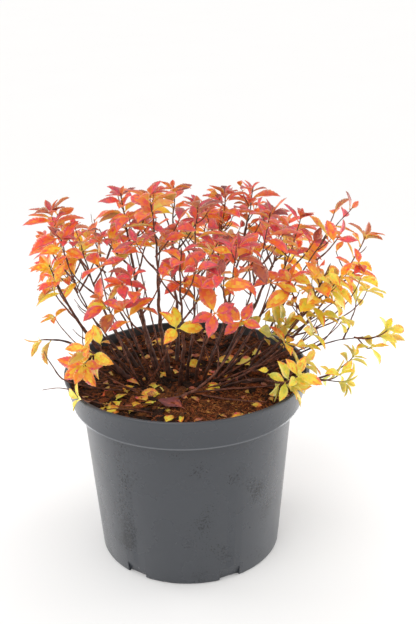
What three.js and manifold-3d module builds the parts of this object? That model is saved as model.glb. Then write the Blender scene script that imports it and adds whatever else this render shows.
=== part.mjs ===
// Spirea shrub standing in its three-litre nursery pot.
// A clump of thin canes rises from the potting mix and fans out over the rim. Each cane ends where
// its spray of twigs and leaves begins. Millimetres, +Z up, origin at the centre of the pot's foot.
import * as THREE from 'three';
import { mergeVertices } from 'three/addons/utils/BufferGeometryUtils.js';
import Module from 'manifold-3d';

const wasm = await Module();
wasm.setup();

// ---- Driving dimensions: the pot and its fill ----
const POT_HEIGHT = 150;
const RIM_RADIUS = 95;
const COLLAR_HEIGHT = 24.7;
const COLLAR_FOOT_RADIUS = 88.5;
const SHOULDER_RADIUS = 82;
const BASE_RADIUS = 72;
const WALL = 1.6;
const FLOOR = 3;
const RIM_LIP = 2.6;
const ROUNDED = { foot: 1.2, rim: 0.8 };
const POT_SEGMENTS = 56;
const FACET_TURN = 1.8;
const CORNER = { height: 14, inset: 7 };
const DRAIN_NOTCHES = { count: 6, first: -5, width: 17, depth: 4.5, height: 10, lean: 22 };
const DRAIN_HOLES = { count: 6, first: 25, radius: 4.5, ring: 46, sides: 12 };
const MIX_EDGE_LEVEL = 139;
const MIX_CROWN_LEVEL = 142;
const CLEARANCE = 0.3;
const LEAF_GAP = 0.05;
const SLIVER = 0.01;

// ---- Driving dimensions: the shrub ----
const CLUMP_CENTRE = new THREE.Vector2(-8, 6);
const CLUMP_SPREAD = 0.42;
const CANE = { footRadius: 1.6, tipRadius: 1.0, sides: 5, steps: 4 };
const LEADER = { rootRadius: 0.95, tipRadius: 0.5, sides: 3, steps: 4 };
const TWIG = { rootRadius: 0.8, tipRadius: 0.45, sides: 3, steps: 3 };
const TWIG_COURSE = { opening: 44, bend: 0.55, beyond: 0.5 };
const TWIG_PLACES = { first: 0.06, over: 0.5, scatter: 0.6 };
const TWIG_LENGTH = { longest: 40, shortening: 0.5, least: 0.8, range: 0.35 };
const TWIG_LEAVES = { least: 4, range: 2 };
const GIRTH = { least: 0.78, range: 0.4 };
const LEAFY = { leader: { from: 0.3, scale: 1 }, twig: { from: 0.42, scale: 0.9 } };
const LEAF_SEATS = { last: 0.97, crowding: 0.85 };
const LEAF_SIZE = { first: 0.28, over: 0.5, least: 0.82, range: 0.36 };
const LEAF = { length: 28, width: 0.5, fold: 0.06, widest: 0.45, sunk: 0.2, droop: 0.22 };
const LEAF_OPENING = { low: 84, high: 42, scatter: 16, twist: 70 };
const POT_ROOM = { beside: 3, above: 2, below: 30 };
const SEED = 29;

// How a cane runs: what part of its reach and rise its bend has covered, and where its spray begins.
const HABITS = {
  upright: { out: 0.68, rise: 0.42, split: 0.5 },
  arching: { out: 0.5, rise: 0.68, split: 0.52 },
  low: { out: 0.5, rise: 1.15, split: 0.56 },
};

// Each cane: its tip, its habit, the leaves on its leader, its side twigs and the tint of its leaves.
const CANES = [
  { tip: [-98, 5, 275], habit: 'upright', leaves: 9, twigs: 3, tint: 'coral' },
  { tip: [-98, -15, 239], habit: 'upright', leaves: 8, twigs: 2, tint: 'orange' },
  { tip: [-86, 42, 252], habit: 'upright', leaves: 8, twigs: 4, tint: 'coral' },
  { tip: [-80, 95, 246], habit: 'upright', leaves: 9, twigs: 4, tint: 'crimson' },
  { tip: [-46, 18, 284], habit: 'upright', leaves: 9, twigs: 3, tint: 'coral' },
  { tip: [-22, -22, 294], habit: 'upright', leaves: 8, twigs: 3, tint: 'coral' },
  { tip: [-9, 62, 277], habit: 'upright', leaves: 9, twigs: 4, tint: 'orange' },
  { tip: [11, -22, 285], habit: 'upright', leaves: 8, twigs: 3, tint: 'crimson' },
  { tip: [32, 30, 280], habit: 'upright', leaves: 8, twigs: 3, tint: 'coral' },
  { tip: [53, 52, 277], habit: 'upright', leaves: 8, twigs: 4, tint: 'crimson' },
  { tip: [63, -20, 278], habit: 'upright', leaves: 8, twigs: 3, tint: 'crimson' },
  { tip: [90, 34, 260], habit: 'upright', leaves: 8, twigs: 3, tint: 'crimson' },
  { tip: [124, 2, 274], habit: 'arching', leaves: 7, twigs: 2, tint: 'coral' },
  { tip: [137, 14, 249], habit: 'upright', leaves: 9, twigs: 2, tint: 'orange' },
  { tip: [105, -28, 240], habit: 'upright', leaves: 8, twigs: 3, tint: 'amber' },
  { tip: [155, -5, 174], habit: 'low', leaves: 8, twigs: 2, tint: 'lime' },
  { tip: [77, -60, 160], habit: 'low', leaves: 7, twigs: 2, tint: 'yellow' },
  { tip: [118, -42, 154], habit: 'low', leaves: 7, twigs: 2, tint: 'lime' },
  { tip: [26, -42, 210], habit: 'arching', leaves: 8, twigs: 2, tint: 'coral' },
  { tip: [-72, -45, 178], habit: 'low', leaves: 7, twigs: 1, tint: 'amber' },
  { tip: [-62, -22, 215], habit: 'arching', leaves: 8, twigs: 2, tint: 'crimson' },
  { tip: [-37, -35, 237], habit: 'upright', leaves: 8, twigs: 2, tint: 'coral' },
  { tip: [-112, 0, 174], habit: 'low', leaves: 6, twigs: 1, tint: 'amber' },
  { tip: [0, -48, 261], habit: 'upright', leaves: 8, twigs: 3, tint: 'coral' },
  { tip: [39, -46, 262], habit: 'upright', leaves: 8, twigs: 3, tint: 'crimson' },
  { tip: [76, -14, 189], habit: 'arching', leaves: 8, twigs: 2, tint: 'amber' },
  { tip: [16, 106, 243], habit: 'upright', leaves: 9, twigs: 4, tint: 'coral' },
  { tip: [84, 84, 240], habit: 'upright', leaves: 9, twigs: 4, tint: 'orange' },
  { tip: [-104, 60, 230], habit: 'upright', leaves: 9, twigs: 4, tint: 'orange' },
];

// ---- Finishes ----
const POT_PLASTIC = { color: 0x4c4f52, roughness: 0.42, metalness: 0 };
const POTTING_MIX = { color: 0x3a241a, roughness: 0.95, metalness: 0 };
const BARK = { color: 0x4a2c28, roughness: 0.75, metalness: 0 };
const LEAF_TINTS = {
  crimson: 0xc8434a,
  coral: 0xe0593f,
  orange: 0xe9802f,
  amber: 0xf0a93a,
  yellow: 0xf5cf4a,
  lime: 0xcfc442,
};

const UP = new THREE.Vector3(0, 0, 1);
const GOLDEN_ANGLE = THREE.MathUtils.degToRad(137.5);
const DEGREES = Math.PI / 180;

// ---- From three.js geometry to closed solids and back ----
function solid(geometry) {
  const bare = geometry.clone();
  bare.deleteAttribute('normal');
  bare.deleteAttribute('uv');
  const joined = mergeVertices(bare, 1e-4);
  const corners = joined.index.array;
  const triangles = [];
  for (let n = 0; n < corners.length; n += 3) {
    const [a, b, c] = corners.slice(n, n + 3);
    if (a !== b && b !== c && c !== a) triangles.push(a, b, c);
  }
  const vertProperties = new Float32Array(joined.attributes.position.array);
  const triVerts = new Uint32Array(triangles);
  return new wasm.Manifold(new wasm.Mesh({ numProp: 3, vertProperties, triVerts }));
}

function geometryOf(body, origin) {
  const { numProp, vertProperties, triVerts } = body.getMesh();
  const positions = [];
  for (let n = 0; n < vertProperties.length; n += numProp) {
    positions.push(vertProperties[n], vertProperties[n + 1], vertProperties[n + 2]);
  }
  const geometry = new THREE.BufferGeometry();
  geometry.setAttribute('position', new THREE.Float32BufferAttribute(positions, 3));
  geometry.setIndex(Array.from(triVerts));
  geometry.translate(-origin.x, -origin.y, -origin.z);
  geometry.computeVertexNormals();
  return geometry;
}

// A named mesh, its geometry measured from the origin of the group that holds it.
function part(name, body, finish, origin = new THREE.Vector3()) {
  const material = new THREE.MeshStandardMaterial({ ...finish, flatShading: true });
  const mesh = new THREE.Mesh(geometryOf(body, origin), material);
  mesh.name = name;
  return mesh;
}

// A profile of radii and heights turned round +Z, its facets set off the axes and the drainage cuts.
function turned(profile, segments) {
  const points = profile.map(([radius, height]) => new THREE.Vector2(radius, height));
  const lathed = new THREE.LatheGeometry(points, segments).rotateX(Math.PI / 2);
  return solid(lathed.rotateZ(FACET_TURN * DEGREES));
}

// ---- Pot ----
function wallRadius(height) {
  const share = height / (POT_HEIGHT - COLLAR_HEIGHT);
  return THREE.MathUtils.lerp(BASE_RADIUS, SHOULDER_RADIUS, share);
}

function potSolid() {
  const collarFoot = POT_HEIGHT - COLLAR_HEIGHT;
  const shell = turned([
    [0, 0],
    [BASE_RADIUS - ROUNDED.foot, 0],
    [BASE_RADIUS, ROUNDED.foot],
    [SHOULDER_RADIUS, collarFoot],
    [COLLAR_FOOT_RADIUS, collarFoot],
    [RIM_RADIUS, POT_HEIGHT - ROUNDED.rim],
    [RIM_RADIUS - ROUNDED.rim, POT_HEIGHT],
    [RIM_RADIUS - RIM_LIP, POT_HEIGHT],
    [COLLAR_FOOT_RADIUS - WALL, collarFoot + WALL],
    [SHOULDER_RADIUS - WALL, collarFoot - WALL],
    [wallRadius(CORNER.height) - WALL, CORNER.height],
    [BASE_RADIUS - CORNER.inset, FLOOR],
    [0, FLOOR],
  ], POT_SEGMENTS);
  const cuts = [];
  for (let n = 0; n < DRAIN_NOTCHES.count; n += 1) {
    const angle = (DRAIN_NOTCHES.first + (n * 360) / DRAIN_NOTCHES.count) * DEGREES;
    const { width, depth, height, lean } = DRAIN_NOTCHES;
    const notch = new THREE.BoxGeometry(2 * depth, width, 2 * height);
    notch.rotateY(lean * DEGREES).translate(BASE_RADIUS + depth / 4, 0, 0).rotateZ(angle);
    cuts.push(solid(notch));
  }
  for (let n = 0; n < DRAIN_HOLES.count; n += 1) {
    const angle = (DRAIN_HOLES.first + (n * 360) / DRAIN_HOLES.count) * DEGREES;
    const { radius, ring, sides } = DRAIN_HOLES;
    const hole = new THREE.CylinderGeometry(radius, radius, 3 * FLOOR, sides);
    hole.rotateX(Math.PI / 2).translate(ring, 0, FLOOR / 2).rotateZ(angle);
    cuts.push(solid(hole));
  }
  return shell.subtract(wasm.Manifold.union(cuts));
}

// ---- Potting mix: fills the pot to a little under the rim, slightly mounded round the canes ----
const MIX_EDGE_RADIUS = THREE.MathUtils.mapLinear(
  MIX_EDGE_LEVEL,
  POT_HEIGHT - COLLAR_HEIGHT + WALL,
  POT_HEIGHT,
  COLLAR_FOOT_RADIUS - WALL,
  RIM_RADIUS - RIM_LIP,
) - 2 * CLEARANCE;

function mixLevel(radius) {
  const share = Math.min(1, radius / MIX_EDGE_RADIUS);
  return MIX_CROWN_LEVEL + (MIX_EDGE_LEVEL - MIX_CROWN_LEVEL) * share * share;
}

function mixSolid() {
  const gap = 2 * CLEARANCE;
  const collarFoot = POT_HEIGHT - COLLAR_HEIGHT;
  const profile = [
    [0, FLOOR + CLEARANCE],
    [BASE_RADIUS - CORNER.inset - gap, FLOOR + CLEARANCE],
    [wallRadius(CORNER.height) - WALL - gap, CORNER.height + gap],
    [SHOULDER_RADIUS - WALL - gap, collarFoot - WALL + gap],
    [COLLAR_FOOT_RADIUS - WALL - gap, collarFoot + WALL + gap],
    [MIX_EDGE_RADIUS, MIX_EDGE_LEVEL],
  ];
  for (const share of [0.8, 0.6, 0.4, 0.2, 0]) {
    profile.push([MIX_EDGE_RADIUS * share, mixLevel(MIX_EDGE_RADIUS * share)]);
  }
  return turned(profile, POT_SEGMENTS / 2);
}

// ---- Seeded growth ----
function dice(seed) {
  let state = Math.imul(seed + SEED, 2654435761) >>> 0;
  return () => {
    state = (Math.imul(state, 1664525) + 1013904223) >>> 0;
    return state / 4294967296;
  };
}

// A stretch of stem: a plane curve with a steady sideways direction for the rings round it.
class Stem {
  constructor(foot, bend, tip, from = 0, to = 1) {
    this.path = new THREE.QuadraticBezierCurve3(foot, bend, tip);
    this.from = from;
    this.to = to;
    const heading = new THREE.Vector3().subVectors(tip, foot);
    this.across = new THREE.Vector3().crossVectors(UP, heading).normalize();
  }

  point(share) {
    return this.path.getPoint(this.from + (this.to - this.from) * share);
  }

  direction(share) {
    const nudge = 1e-3;
    const low = Math.min(share, 1 - nudge);
    return new THREE.Vector3().subVectors(this.point(low + nudge), this.point(low)).normalize();
  }

  // The stretch of the curve's own parameter that a short length takes at the stem's start.
  stretch(length) {
    const step = 1e-3;
    return ((this.to - this.from) * step * length) / this.point(0).distanceTo(this.point(step));
  }
}

// A tapering limb: the rings of an upright rod, set round a stem; a cane's lowest ring lies level.
function limb(stem, rootRadius, tipRadius, sides, steps, levelFoot) {
  const rod = new THREE.CylinderGeometry(tipRadius, rootRadius, 1, sides, steps);
  const spots = rod.attributes.position;
  for (let n = 0; n < spots.count; n += 1) {
    const share = spots.getY(n) + 0.5;
    const axis = levelFoot && share === 0 ? UP : stem.direction(share);
    const over = new THREE.Vector3().crossVectors(stem.across, axis).normalize();
    const spot = stem.point(share);
    spot.addScaledVector(stem.across, spots.getX(n)).addScaledVector(over, spots.getZ(n));
    spots.setXYZ(n, spot.x, spot.y, spot.z);
  }
  return solid(rod);
}

function caneStem(row) {
  const tip = new THREE.Vector3(...row.tip);
  const foot = new THREE.Vector3(
    CLUMP_CENTRE.x + (tip.x - CLUMP_CENTRE.x) * CLUMP_SPREAD,
    CLUMP_CENTRE.y + (tip.y - CLUMP_CENTRE.y) * CLUMP_SPREAD,
    0,
  );
  const footReach = Math.hypot(foot.x, foot.y) - CANE.footRadius;
  foot.z = mixLevel(Math.max(0, footReach)) + CLEARANCE;
  const { out, rise } = HABITS[row.habit];
  const bend = new THREE.Vector3(
    foot.x + (tip.x - foot.x) * out,
    foot.y + (tip.y - foot.y) * out,
    foot.z + (tip.z - foot.z) * rise,
  );
  return new Stem(foot, bend, tip);
}

// A side twig leaves its leader at an angle and turns up towards the light.
function sideTwig(leader, share, heading, length) {
  const root = leader.point(share);
  const along = leader.direction(share);
  const sideways = new THREE.Vector3(Math.cos(heading), Math.sin(heading), 0);
  const opening = TWIG_COURSE.opening * DEGREES;
  const away = along.clone().multiplyScalar(Math.cos(opening));
  away.addScaledVector(sideways, Math.sin(opening)).normalize();
  const bend = root.clone().addScaledVector(away, length * TWIG_COURSE.bend);
  const rising = away.clone().add(UP).normalize();
  const tip = bend.clone().addScaledVector(rising, length * TWIG_COURSE.beyond);
  return new Stem(root, bend, tip);
}

// Leaves stand round a stem by the golden angle, spread wide low down and closer at its tip.
function leavesOn(stem, count, { from, scale }, roll) {
  const leaves = [];
  const phase = roll() * 2 * Math.PI;
  for (let n = 0; n < count; n += 1) {
    const share = (n + 1) / count;
    const seat = Math.min(LEAF_SEATS.last, from + (1 - from) * share ** LEAF_SEATS.crowding);
    const root = stem.point(seat);
    const axis = stem.direction(seat);
    const turn = phase + n * GOLDEN_ANGLE;
    const over = new THREE.Vector3().crossVectors(stem.across, axis).normalize();
    const radial = stem.across.clone().multiplyScalar(Math.cos(turn));
    radial.addScaledVector(over, Math.sin(turn));
    const { low, high, scatter, twist } = LEAF_OPENING;
    const opening = (low + (high - low) * share + scatter * (roll() - 0.5)) * DEGREES;
    const along = axis.clone().multiplyScalar(Math.cos(opening));
    along.addScaledVector(radial, Math.sin(opening)).addScaledVector(UP, -LEAF.droop).normalize();
    const face = axis.clone().addScaledVector(along, -axis.dot(along)).normalize();
    face.applyAxisAngle(along, twist * (roll() - 0.5) * DEGREES);
    const { first, over: span, least, range } = LEAF_SIZE;
    const size = Math.sin(Math.PI * (first + span * share)) * (least + range * roll());
    leaves.push({ root, along, face, length: LEAF.length * scale * size });
  }
  return leaves;
}

function spray(stem, row, roll) {
  const { split } = HABITS[row.habit];
  const leader = new Stem(stem.path.v0, stem.path.v1, stem.path.v2, split, 1);
  leader.from += leader.stretch(CLEARANCE);
  const shoots = [{ stem: leader, leaves: leavesOn(leader, row.leaves, LEAFY.leader, roll) }];
  const heading = roll() * 2 * Math.PI;
  for (let n = 0; n < row.twigs; n += 1) {
    const { first, over, scatter } = TWIG_PLACES;
    const share = first + (over * (n + roll() * scatter)) / row.twigs;
    const turn = heading + n * GOLDEN_ANGLE;
    const { longest, shortening, least, range } = TWIG_LENGTH;
    const length = longest * (1 - shortening * share) * (least + range * roll());
    const twig = sideTwig(leader, share, turn, length);
    const count = TWIG_LEAVES.least + Math.floor(TWIG_LEAVES.range * roll());
    shoots.push({ stem: twig, leaves: leavesOn(twig, count, LEAFY.twig, roll) });
  }
  return shoots;
}

// A leaf is a slim keeled blade: its root and tip lie on the keel, its two edges stand a fold higher.
function leafSolid({ root, along, face, length }) {
  const side = new THREE.Vector3().crossVectors(face, along);
  const middle = root.clone().addScaledVector(along, length * LEAF.widest);
  middle.addScaledVector(face, length * LEAF.fold);
  const half = (length * LEAF.width) / 2;
  const corners = [
    root.clone().addScaledVector(along, -LEAF.sunk),
    middle.clone().addScaledVector(side, half),
    middle.clone().addScaledVector(side, -half),
    root.clone().addScaledVector(along, length),
  ];
  const blade = new THREE.BufferGeometry();
  blade.setFromPoints(corners);
  blade.setIndex([0, 2, 1, 1, 2, 3, 0, 1, 3, 0, 3, 2]);
  return { body: solid(blade), corners };
}

// ---- Keeping to its own space ----
function clearOfPot(point) {
  const radius = Math.hypot(point.x, point.y);
  const { beside, above, below } = POT_ROOM;
  if (radius > RIM_RADIUS + beside) return point.z > POT_HEIGHT - below;
  if (radius < RIM_RADIUS - RIM_LIP - beside) return point.z > mixLevel(radius) + above;
  return point.z > POT_HEIGHT + above;
}

function boxesApart(a, b, gap) {
  for (let n = 0; n < 3; n += 1) {
    if (a.min[n] > b.max[n] + gap || b.min[n] > a.max[n] + gap) return true;
  }
  return false;
}

// Everything that stands so far, each piece with its owner; a new piece must clear the others'.
// A leaf may meet its own spray's stems, but crosses none of its leaves.
const standing = [];

function stand(body, owner, kind) {
  standing.push({ body, owner, kind, box: body.boundingBox() });
}

function fits(body, owner, kind) {
  const box = body.boundingBox();
  for (const other of standing) {
    const kin = other.owner === owner;
    if (kin && (kind === 'stem' || other.kind === 'stem')) continue;
    const gap = kin ? LEAF_GAP : CLEARANCE;
    if (boxesApart(box, other.box, gap)) continue;
    if (body.minGap(other.body, 2 * gap) < gap) return false;
  }
  return true;
}

// One closed body: the largest piece of a join, with any sealed hollow filled.
function wholeBody(bodies) {
  const pieces = wasm.Manifold.union(bodies).decompose();
  pieces.sort((a, b) => b.volume() - a.volume());
  return pieces[0].simplify(SLIVER);
}

// ---- Assembly ----
const shrub = new THREE.Group();
shrub.name = 'spirea_in_pot';
shrub.add(part('pot', potSolid(), POT_PLASTIC));
shrub.add(part('potting_mix', mixSolid(), POTTING_MIX));

const plants = CANES.map((row, index) => {
  const stem = caneStem(row);
  const { split } = HABITS[row.habit];
  const cane = new Stem(stem.path.v0, stem.path.v1, stem.path.v2, 0, split);
  const roll = dice(index);
  const girth = GIRTH.least + GIRTH.range * roll();
  const foot = CANE.footRadius * girth;
  const caneBody = limb(cane, foot, CANE.tipRadius * girth, CANE.sides, CANE.steps, true);
  const shoots = spray(stem, row, roll);
  const { rootRadius, tipRadius, sides, steps } = LEADER;
  const leaderBody = limb(shoots[0].stem, rootRadius * girth, tipRadius, sides, steps, false);
  stand(caneBody, `cane ${index}`, 'stem');
  stand(leaderBody, `spray ${index}`, 'stem');
  return { row, index, cane, caneBody, shoots, leaderBody };
});

function spraySolid({ index, shoots, leaderBody }) {
  const owner = `spray ${index}`;
  const { rootRadius, tipRadius, sides, steps } = TWIG;
  const bodies = [leaderBody];
  shoots.forEach(({ stem, leaves }, rank) => {
    if (rank > 0) {
      const twig = limb(stem, rootRadius, tipRadius, sides, steps, false);
      if (!clearOfPot(stem.point(1)) || !fits(twig, owner, 'stem')) return;
      stand(twig, owner, 'stem');
      bodies.push(twig);
    }
    for (const leaf of leaves) {
      const { body, corners } = leafSolid(leaf);
      if (!corners.every(clearOfPot) || !fits(body, owner, 'leaf')) continue;
      stand(body, owner, 'leaf');
      bodies.push(body);
    }
  });
  return wholeBody(bodies);
}

for (const plant of plants) {
  const { row, index, cane, caneBody } = plant;
  const label = String(index + 1).padStart(2, '0');
  const stool = new THREE.Group();
  const foot = cane.point(0);
  stool.position.copy(foot);
  const tint = { color: LEAF_TINTS[row.tint], roughness: 0.55, metalness: 0 };
  stool.add(part(`cane_${label}`, caneBody, BARK, foot));
  stool.add(part(`foliage_${label}`, spraySolid(plant), tint, foot));
  shrub.add(stool);
}

export default shrub;
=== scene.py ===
import math
from functools import cache

import bpy
import numpy as np
from bpy.props import FloatProperty, FloatVectorProperty, IntProperty, PointerProperty
from mathutils import Matrix, Quaternion, Vector, noise
from mathutils.bvhtree import BVHTree


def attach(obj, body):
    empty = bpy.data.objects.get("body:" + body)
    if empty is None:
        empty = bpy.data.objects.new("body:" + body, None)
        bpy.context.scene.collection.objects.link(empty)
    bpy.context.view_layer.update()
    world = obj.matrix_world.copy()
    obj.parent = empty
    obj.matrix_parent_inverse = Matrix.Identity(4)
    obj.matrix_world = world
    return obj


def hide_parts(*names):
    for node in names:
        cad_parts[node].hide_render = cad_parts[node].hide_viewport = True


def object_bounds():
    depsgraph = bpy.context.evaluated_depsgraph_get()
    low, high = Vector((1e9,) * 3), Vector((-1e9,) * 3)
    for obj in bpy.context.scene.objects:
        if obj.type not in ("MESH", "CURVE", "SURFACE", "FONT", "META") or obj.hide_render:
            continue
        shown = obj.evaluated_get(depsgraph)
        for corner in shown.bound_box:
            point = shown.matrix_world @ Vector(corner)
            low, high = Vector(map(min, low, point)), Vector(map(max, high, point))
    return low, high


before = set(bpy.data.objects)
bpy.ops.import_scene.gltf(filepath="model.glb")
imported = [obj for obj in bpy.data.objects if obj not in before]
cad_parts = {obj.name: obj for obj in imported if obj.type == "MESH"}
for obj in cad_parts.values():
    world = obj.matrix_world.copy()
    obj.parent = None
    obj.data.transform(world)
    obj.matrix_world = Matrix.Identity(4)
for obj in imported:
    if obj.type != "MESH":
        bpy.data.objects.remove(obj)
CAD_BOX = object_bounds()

bl_info = {
    "name": "Spirea in a nursery pot",
    "version": (1, 0, 0),
    "blender": (4, 5, 0),
    "location": "3D View > Sidebar > Spirea",
    "description": "Dresses the packed spirea: pot, potting mix, canes, twigs, leaves and a pale studio",
    "category": "Object",
}

MM = 0.001
UP = Vector((0, 0, 1))
GOLDEN_ANGLE = math.radians(137.5)
NUDGE = 1e-3        # the step along a stem by which its direction is told
LENGTH_STEPS = 12   # pieces that a stem is measured in

# ---- Sizes in millimetres, the same as the part's own ----
POT_HEIGHT = 150
RIM_RADIUS = 95
COLLAR_FOOT = POT_HEIGHT - 24.7
COLLAR_FOOT_RADIUS = 88.5
SHOULDER_RADIUS = 82
BASE_RADIUS = 72
WALL = 1.6
FLOOR = 3
RIM_LIP = 2.6
CORNER = {"height": 14, "inset": 7}
CORNER_RADIUS = BASE_RADIUS + (SHOULDER_RADIUS - BASE_RADIUS) * CORNER["height"] / COLLAR_FOOT
DRAIN_NOTCHES = {"count": 6, "first": -5, "width": 17, "depth": 4.5, "height": 10, "lean": 22}
DRAIN_HOLES = {"count": 6, "first": 25, "radius": 4.5, "ring": 46, "sides": 28}
MIX_EDGE_LEVEL = 139
MIX_CROWN_LEVEL = 142
CLEARANCE = 0.3
MIX_EDGE_RADIUS = 91.0

CLUMP_CENTRE = (-8, 6)
CLUMP_SPREAD = 0.42
CANE = {"foot": 1.6, "tip": 1.0}
LEADER = {"root": 0.95, "tip": 0.5}
TWIG = {"root": 0.8, "opening": 44, "bend": 0.55, "beyond": 0.5}
TWIG_PLACES = {"first": 0.06, "over": 0.5, "scatter": 0.6}
TWIG_LENGTH = {"longest": 40, "shortening": 0.5, "least": 0.8, "range": 0.35}
TWIG_LEAVES = {"least": 4, "range": 2}
GIRTH = {"least": 0.78, "range": 0.4}
LEAFY = {"leader": (0.3, 1.0), "twig": (0.42, 0.9), "spur": (0.35, 0.66)}
LEAF_SEATS = {"last": 0.97, "crowding": 0.85}
LEAF_SIZE = {"first": 0.28, "over": 0.5, "least": 0.82, "range": 0.36}
LEAF = {"length": 28, "droop": 0.22}
LEAF_OPENING = {"low": 84, "high": 42, "scatter": 16, "twist": 70}
POT_ROOM = {"beside": 3, "above": 2, "below": 30}
BOX_SPARE = 1       # how far the outline of a leaf may stand out of the part's box

# ---- What the part leaves to the scene ----
LIFE_SIZE = 0.84    # a leaf in life, as a share of the part's own, which are fewer and larger
LOW_SIZE = 0.82     # leaves on the low canes, as a share of the others
EXTRA_LEAVES = 0.25 # leaves between those of the rule, for each of them
KEPT_LOW = 0.5      # how readily a leaf of the rule stays at its shoot's root, and one more at its tip
TWIG_TIP = 0.34     # twigs end finer than the part's own
LOW_GIRTH = {"root": 1.0, "tip": 0.5}
LOW_ROOTED = 5      # a low shoot whose foot is this near the mix springs from it, another from a limb
LIMB_SPOTS = 60     # places on a limb that such a shoot may spring from
# Whorls at the tips: how far the first leaf and the others open out, their lengths and where they sit.
TIP_LEAVES = {
    "first": 14, "opening": 64, "scatter": 24, "droop": 0.06, "length": 16, "short": 0.72, "seat": 0.985}
LOW_WHORL = {"first": 60, "opening": 74, "scatter": 30, "droop": 0.1, "short": 1, "seat": 0.98}
WHORL_SIZE = {"least": 0.7, "range": 0.5}
WHORL_TWIST = 0.6
SPUR = {"leaves": 2, "length": 15, "root": 0.5, "tip": 0.24}
SPUR_PLACES = {"first": 0.12, "over": 0.78, "scatter": 0.7}
SPUR_SIZE = {"least": 0.6, "range": 0.6}
SPUR_OPENING = {"least": 38, "range": 22}
SPUR_COUNT = {"leader": 2.4, "twig": 0.8}
BARE_TWIG = {"length": 22, "from": 0.36}
# The tallest shoots are the fullest at their tips: leaves and spurs for one that tops the level by the span.
CROWN = {"level": 254, "span": 26, "leaves": 7, "spurs": 2, "from": (0.66, 1.0)}
SPARSE = 0.2        # a spray less full than this keeps only its leader
TIP_COUNT = {"upright": 3, "arching": 1, "low": 3}
HEAP = {"from": 10, "over": 75, "height": 4.5}  # the mix is heaped against the back of the pot

# Shoots from low on the clump. Some creep bare over the mix and the rim, and the others end in a star of
# leaves: foot, bend and tip, how many leaves, how long and of what tint, and the shoot's girth.
LOW_SHOOTS = [
    ((-48, -22, 142), (-76, -30, 146), (-93, -26, 153), 0, 0, "orange", 0.9),
    ((-93, -26, 153), (-100, -24, 160), (-106, -20, 173), 0, 0, "orange", 0.6),
    ((-66, -35, 144), (-88, -40, 156), (-106, -40, 151), 0, 0, "orange", 0.5),
    ((-30, -14, 142), (-14, -30, 172), (-5, -50, 203), 4, 18, "gold", 0.8),
    ((-56, -48, 142), (-68, -56, 150), (-77, -60, 153), 4, 12, "yellow", 0.6),
    ((6, -30, 142), (26, -48, 144), (58, -58, 147), 0, 0, "amber", 0.8),
    ((-16, -40, 141), (22, -38, 143), (46, -22, 198), 0, 0, "coral", 1.1),
    ((46, -22, 196), (43, -32, 200), (41, -40, 203), 4, 17, "coral", 0.6),
    ((28, -31, 156), (26, -28, 176), (20, -28, 197), 0, 0, "coral", 0.6),
    ((-34, -30, 142), (-60, -32, 156), (-70, -34, 170), 0, 0, "orange", 0.6),
    ((-70, -34, 170), (-72, -42, 174), (-73, -50, 176), 6, 18, "orange", 0.5),
    ((-20, -34, 144), (24, -33, 146), (66, -40, 151), 0, 0, "coral", 0.7),
    ((14, -24, 144), (48, -38, 148), (78, -46, 156), 0, 0, "coral", 0.7),
    ((-24, -60, 143), (-44, -66, 149), (-58, -78, 153), 0, 0, "coral", 0.6),
    ((-30, -26, 144), (-58, -22, 147), (-80, -30, 152), 0, 0, "coral", 0.6),
    ((16, -22, 142), (52, -32, 156), (74, -35, 184), 5, 16, "amber", 0.8),
    ((20, -14, 142), (66, -22, 162), (96, -25, 187), 5, 17, "yellow", 0.8),
    ((20, -10, 142), (70, -12, 170), (112, -10, 206), 4, 17, "yellow", 0.8),
    ((96, -16, 164), (106, -18, 176), (115, -20, 197), 3, 17, "lime", 0.6),
    ((44, -20, 150), (68, -28, 158), (90, -30, 180), 4, 16, "yellow", 0.6),
    ((-38, -6, 142), (-58, -8, 190), (-62, -10, 238), 4, 20, "coral", 0.8),
    ((-24, -10, 142), (-42, -22, 190), (-45, -25, 228), 6, 19, "crimson", 0.8),
    ((22, -10, 142), (54, -18, 180), (64, -20, 227), 5, 18, "coral", 0.8),
    ((80, -10, 170), (130, -10, 190), (137, -5, 213), 5, 18, "yellow", 0.6),
    ((50, -16, 152), (82, -24, 168), (92, -25, 192), 5, 17, "yellow", 0.6),
    ((134, -6, 160), (139, -8, 163), (141, -8, 167), 4, 17, "yellow", 0.6),
    ((-17, 4, 142), (-32, 2, 220), (-40, 0, 273), 5, 18, "coral", 0.7),
    ((60, -12, 160), (105, -14, 170), (117, -12, 190), 3, 18, "lime", 0.6),
    ((20, -28, 196), (20, -38, 206), (22, -46, 212), 6, 21, "crimson", 0.6),
    ((14, -28, 160), (10, -34, 200), (9, -36, 218), 2, 20, "orange", 0.6),
    ((96, -14, 180), (126, -14, 205), (130, -12, 224), 5, 19, "yellow", 0.6),
    ((60, -20, 160), (92, -22, 176), (99, -20, 198), 4, 17, "lime", 0.6),
    ((-40, -2, 142), (-84, -6, 164), (-99, -8, 197), 4, 15, "amber", 0.6),
]

# Where the camera stands, what lens it has, how far it looks down and how far it is turned.
EYE = Vector((17.2, -706.4, 469.8))
LENS = 57.46
PITCH, ROLL = 0.3709, -0.0173
# Where one sees right through the crown from there: across, up, and how wide.
GAPS = [
    (-25, 236, 10), (-26, 218, 7), (-15, 205, 8), (49, 204, 11), (60, 237, 8), (109, 237, 11),
    (139, 238, 9), (-68, 271, 9), (-10, 270, 7), (-113, 207, 8), (-1, 250, 6), (-59, 265, 6), (64, 251, 6),
    (34, 268, 5), (52, 272, 5), (17, 262, 5), (-77, 230, 7), (56, 212, 9), (53, 252, 5),
]

# How a cane runs: what part of its reach and rise its bend has covered, and where its spray begins.
HABITS = {
    "upright": (0.68, 0.42, 0.5),
    "arching": (0.5, 0.68, 0.52),
    "low": (0.5, 1.15, 0.56),
}

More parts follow.
